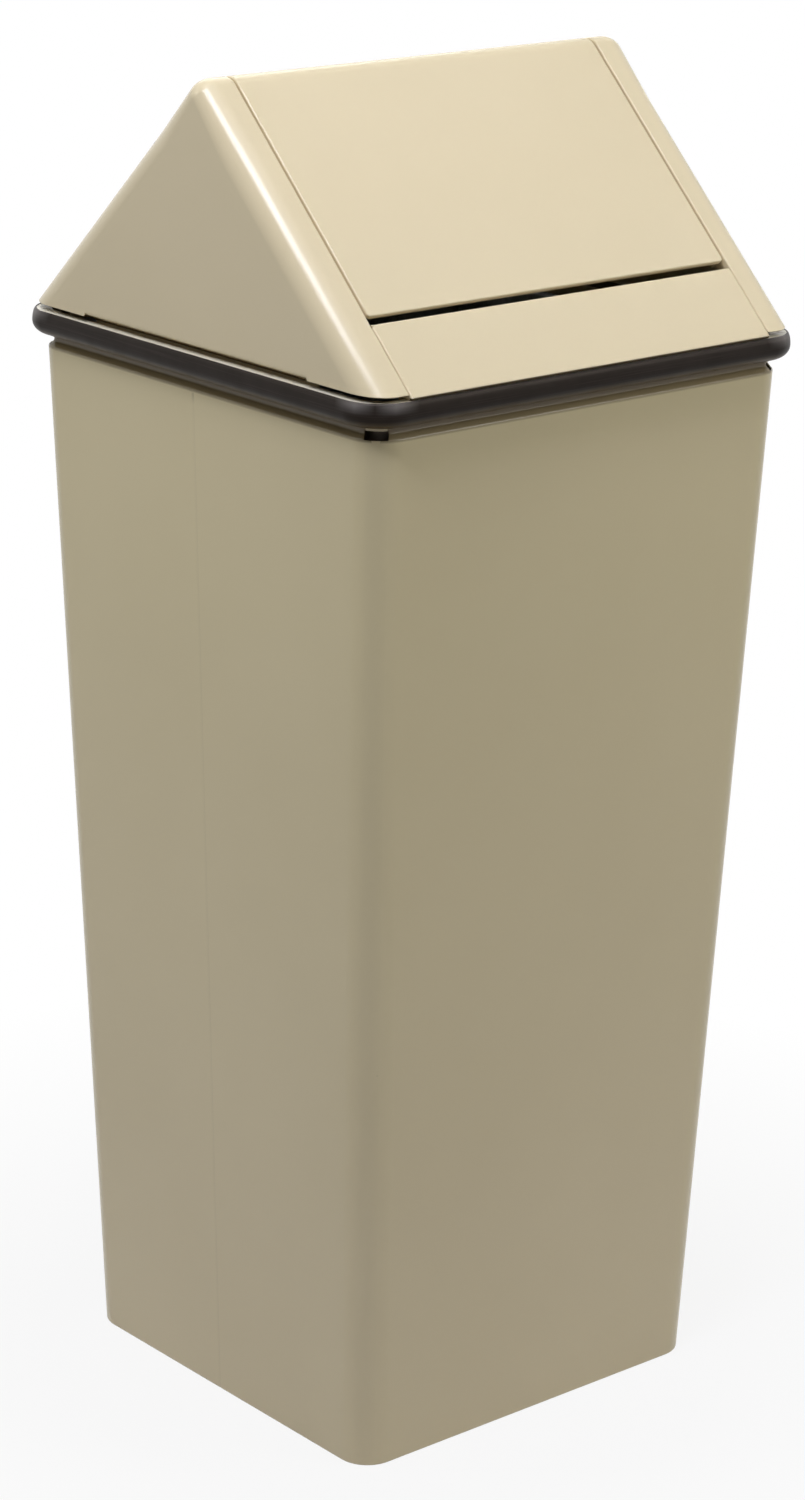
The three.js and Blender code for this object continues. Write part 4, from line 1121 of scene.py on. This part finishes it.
def studio_floor():
    """A pale floor with the object's shadow, which fades to white away from the object."""
    mesh = bpy.data.meshes.new("floor")
    corners = [(x * FLOOR_REACH, y * FLOOR_REACH, 0) for x, y in CORNERS]
    mesh.from_pydata(corners, [], [(0, 1, 2, 3)])
    floor = bpy.data.objects.new("floor", mesh)
    bpy.context.scene.collection.objects.link(floor)
    finish = Finish("floor_paper", PAPER, 0.9)
    darker, lighter = (tuple(c + step for c in PAPER) for step in (-0.005, 0.005))
    finish.set_colour(finish.shade(finish.noise(3.0), darker, lighter))
    white = finish.node("ShaderNodeEmission")
    path = finish.node("ShaderNodeLightPath")
    seen = path.outputs["Is Camera Ray"]
    for ray in ("Is Glossy Ray", "Is Transmission Ray"):
        seen = finish.math("MAXIMUM", seen, path.outputs[ray])
    away = finish.node("ShaderNodeVectorMath", operation="LENGTH")
    finish.join(finish.place, away.inputs[0])
    fade = finish.spread(away.outputs["Value"], *SHADOW_FADE, *SHADOW_FADE_WHITE)
    share = finish.product(seen, fade)
    mix = finish.node("ShaderNodeMixShader")
    finish.join(share, mix.inputs["Fac"])
    finish.join(finish.shader.outputs["BSDF"], mix.inputs[1])
    finish.join(white.outputs["Emission"], mix.inputs[2])
    finish.join(mix.outputs["Shader"], finish.tree.nodes["Material Output"].inputs["Surface"])
    mesh.materials.append(finish.material)


SURROUND_STRENGTH = 0.04
COOL = (0.995, 1, 1.06)
COOLER = (0.96, 1, 1.14)
WARM = (1, 1, 0.93)
WARMER = (1, 0.99, 0.84)


def area_light(name, place, aim, size, power, colour, spread=180, roll=0):
    """A softbox, aimed at a point, its beam narrowed by spread and turned by roll in degrees."""
    lamp = bpy.data.lights.new(name, "AREA")
    lamp.color = colour
    lamp.shape = "RECTANGLE"
    lamp.size, lamp.size_y = size
    lamp.energy = power
    lamp.spread = math.radians(spread)
    light = bpy.data.objects.new(name, lamp)
    light.location = place
    facing = (Vector(aim) - Vector(place)).to_track_quat("-Z", "Y").to_matrix()
    light.rotation_euler = (facing @ Matrix.Rotation(math.radians(roll), 3, "Z")).to_euler()
    bpy.context.scene.collection.objects.link(light)


def studio_world():
    """A faint white surround, plain white to the camera and in reflections."""
    world = bpy.data.worlds.new("studio")
    world.use_nodes = True
    bpy.context.scene.world = world
    tree = world.node_tree
    background = tree.nodes["Background"]
    path = tree.nodes.new("ShaderNodeLightPath")
    strength = tree.nodes.new("ShaderNodeMapRange")
    strength.inputs["To Min"].default_value = SURROUND_STRENGTH
    strength.inputs["To Max"].default_value = 1.0
    seen = path.outputs["Is Camera Ray"]
    for ray in ("Is Glossy Ray", "Is Transmission Ray"):
        either = tree.nodes.new("ShaderNodeMath")
        either.operation = "MAXIMUM"
        tree.links.new(seen, either.inputs[0])
        tree.links.new(path.outputs[ray], either.inputs[1])
        seen = either.outputs[0]
    tree.links.new(seen, strength.inputs["Value"])
    background.inputs["Color"].default_value = (1, 1, 1, 1)
    tree.links.new(strength.outputs["Result"], background.inputs["Strength"])


def studio_camera():
    """The camera fitted to the photograph, with the view's long side on a 36 mm sensor."""
    yaw, pitch, roll = math.radians(40.5288), math.radians(18.1187), math.radians(1.0862)
    view = Vector((math.sin(yaw) * math.cos(pitch),
                   math.cos(yaw) * math.cos(pitch),
                   -math.sin(pitch)))
    level = Vector((math.cos(yaw), -math.sin(yaw), 0))
    up = level.cross(view)
    right = math.cos(roll) * level + math.sin(roll) * up
    above = math.cos(roll) * up - math.sin(roll) * level
    data = bpy.data.cameras.new("camera")
    data.sensor_width = 36
    data.lens = 96.894
    camera = bpy.data.objects.new("camera", data)
    camera.matrix_world = Matrix.Translation((-1.74234, -2.03945, 1.32565)) @ Matrix(
        (right, above, -view)).transposed().to_4x4()
    bpy.context.scene.collection.objects.link(camera)
    bpy.context.scene.camera = camera


# ---- Assembly ------------------------------------------------------------------------------

enamel = almond_enamel()
vinyl = black_vinyl()
galvanised = galvanised_steel()
zinc = zinc_plate()
nylon = white_nylon()

body_wrap(enamel)
bumper_ring(vinyl)
for end in (-1, 1):
    end_cap(end, enamel)
    fascia(end, enamel)
door_panel(enamel)
liner_tub(galvanised)
bottom_pan(enamel)
rim_wire(zinc)
for end in (-1, 1):
    hinge_side(end, zinc, nylon)
for wall in ("front", "rear"):
    bail(wall, zinc)
    for side in ("left", "right"):
        bail_ear(wall, side, galvanised, zinc)

for side in ("left", "right"):
    keep_solid(f"pivot_bracket_{side}", zinc)
    keep_solid(f"door_gusset_{side}", enamel)

bpy.context.scene.view_settings.view_transform = "Standard"
studio_floor()
studio_world()
studio_camera()
area_light("top_softbox", place=(-0.5, -0.4, 5.0), aim=(0, 0, 0.5), size=(3.0, 3.0),
           power=70, colour=COOL)
area_light("key_softbox", place=(-1.33, -0.6, 3.05), aim=(0, 0, 0.85), size=(1.2, 0.46),
           power=3.35, colour=COOLER, spread=50, roll=37)
area_light("left_softbox", place=(-1.75, 1.15, 2.15), aim=(0, 0, 0.6), size=(1.1, 1.1),
           power=7.8, colour=WARMER)
area_light("right_softbox", place=(1.2, -1.75, 1.95), aim=(0, 0, 0.6), size=(1.1, 1.1),
           power=15.5, colour=WARM)
area_light("rear_softbox", place=(1.3, 2.1, 2.6), aim=(0, 0, 0.6), size=(1.5, 1.5),
           power=10, colour=WARM)
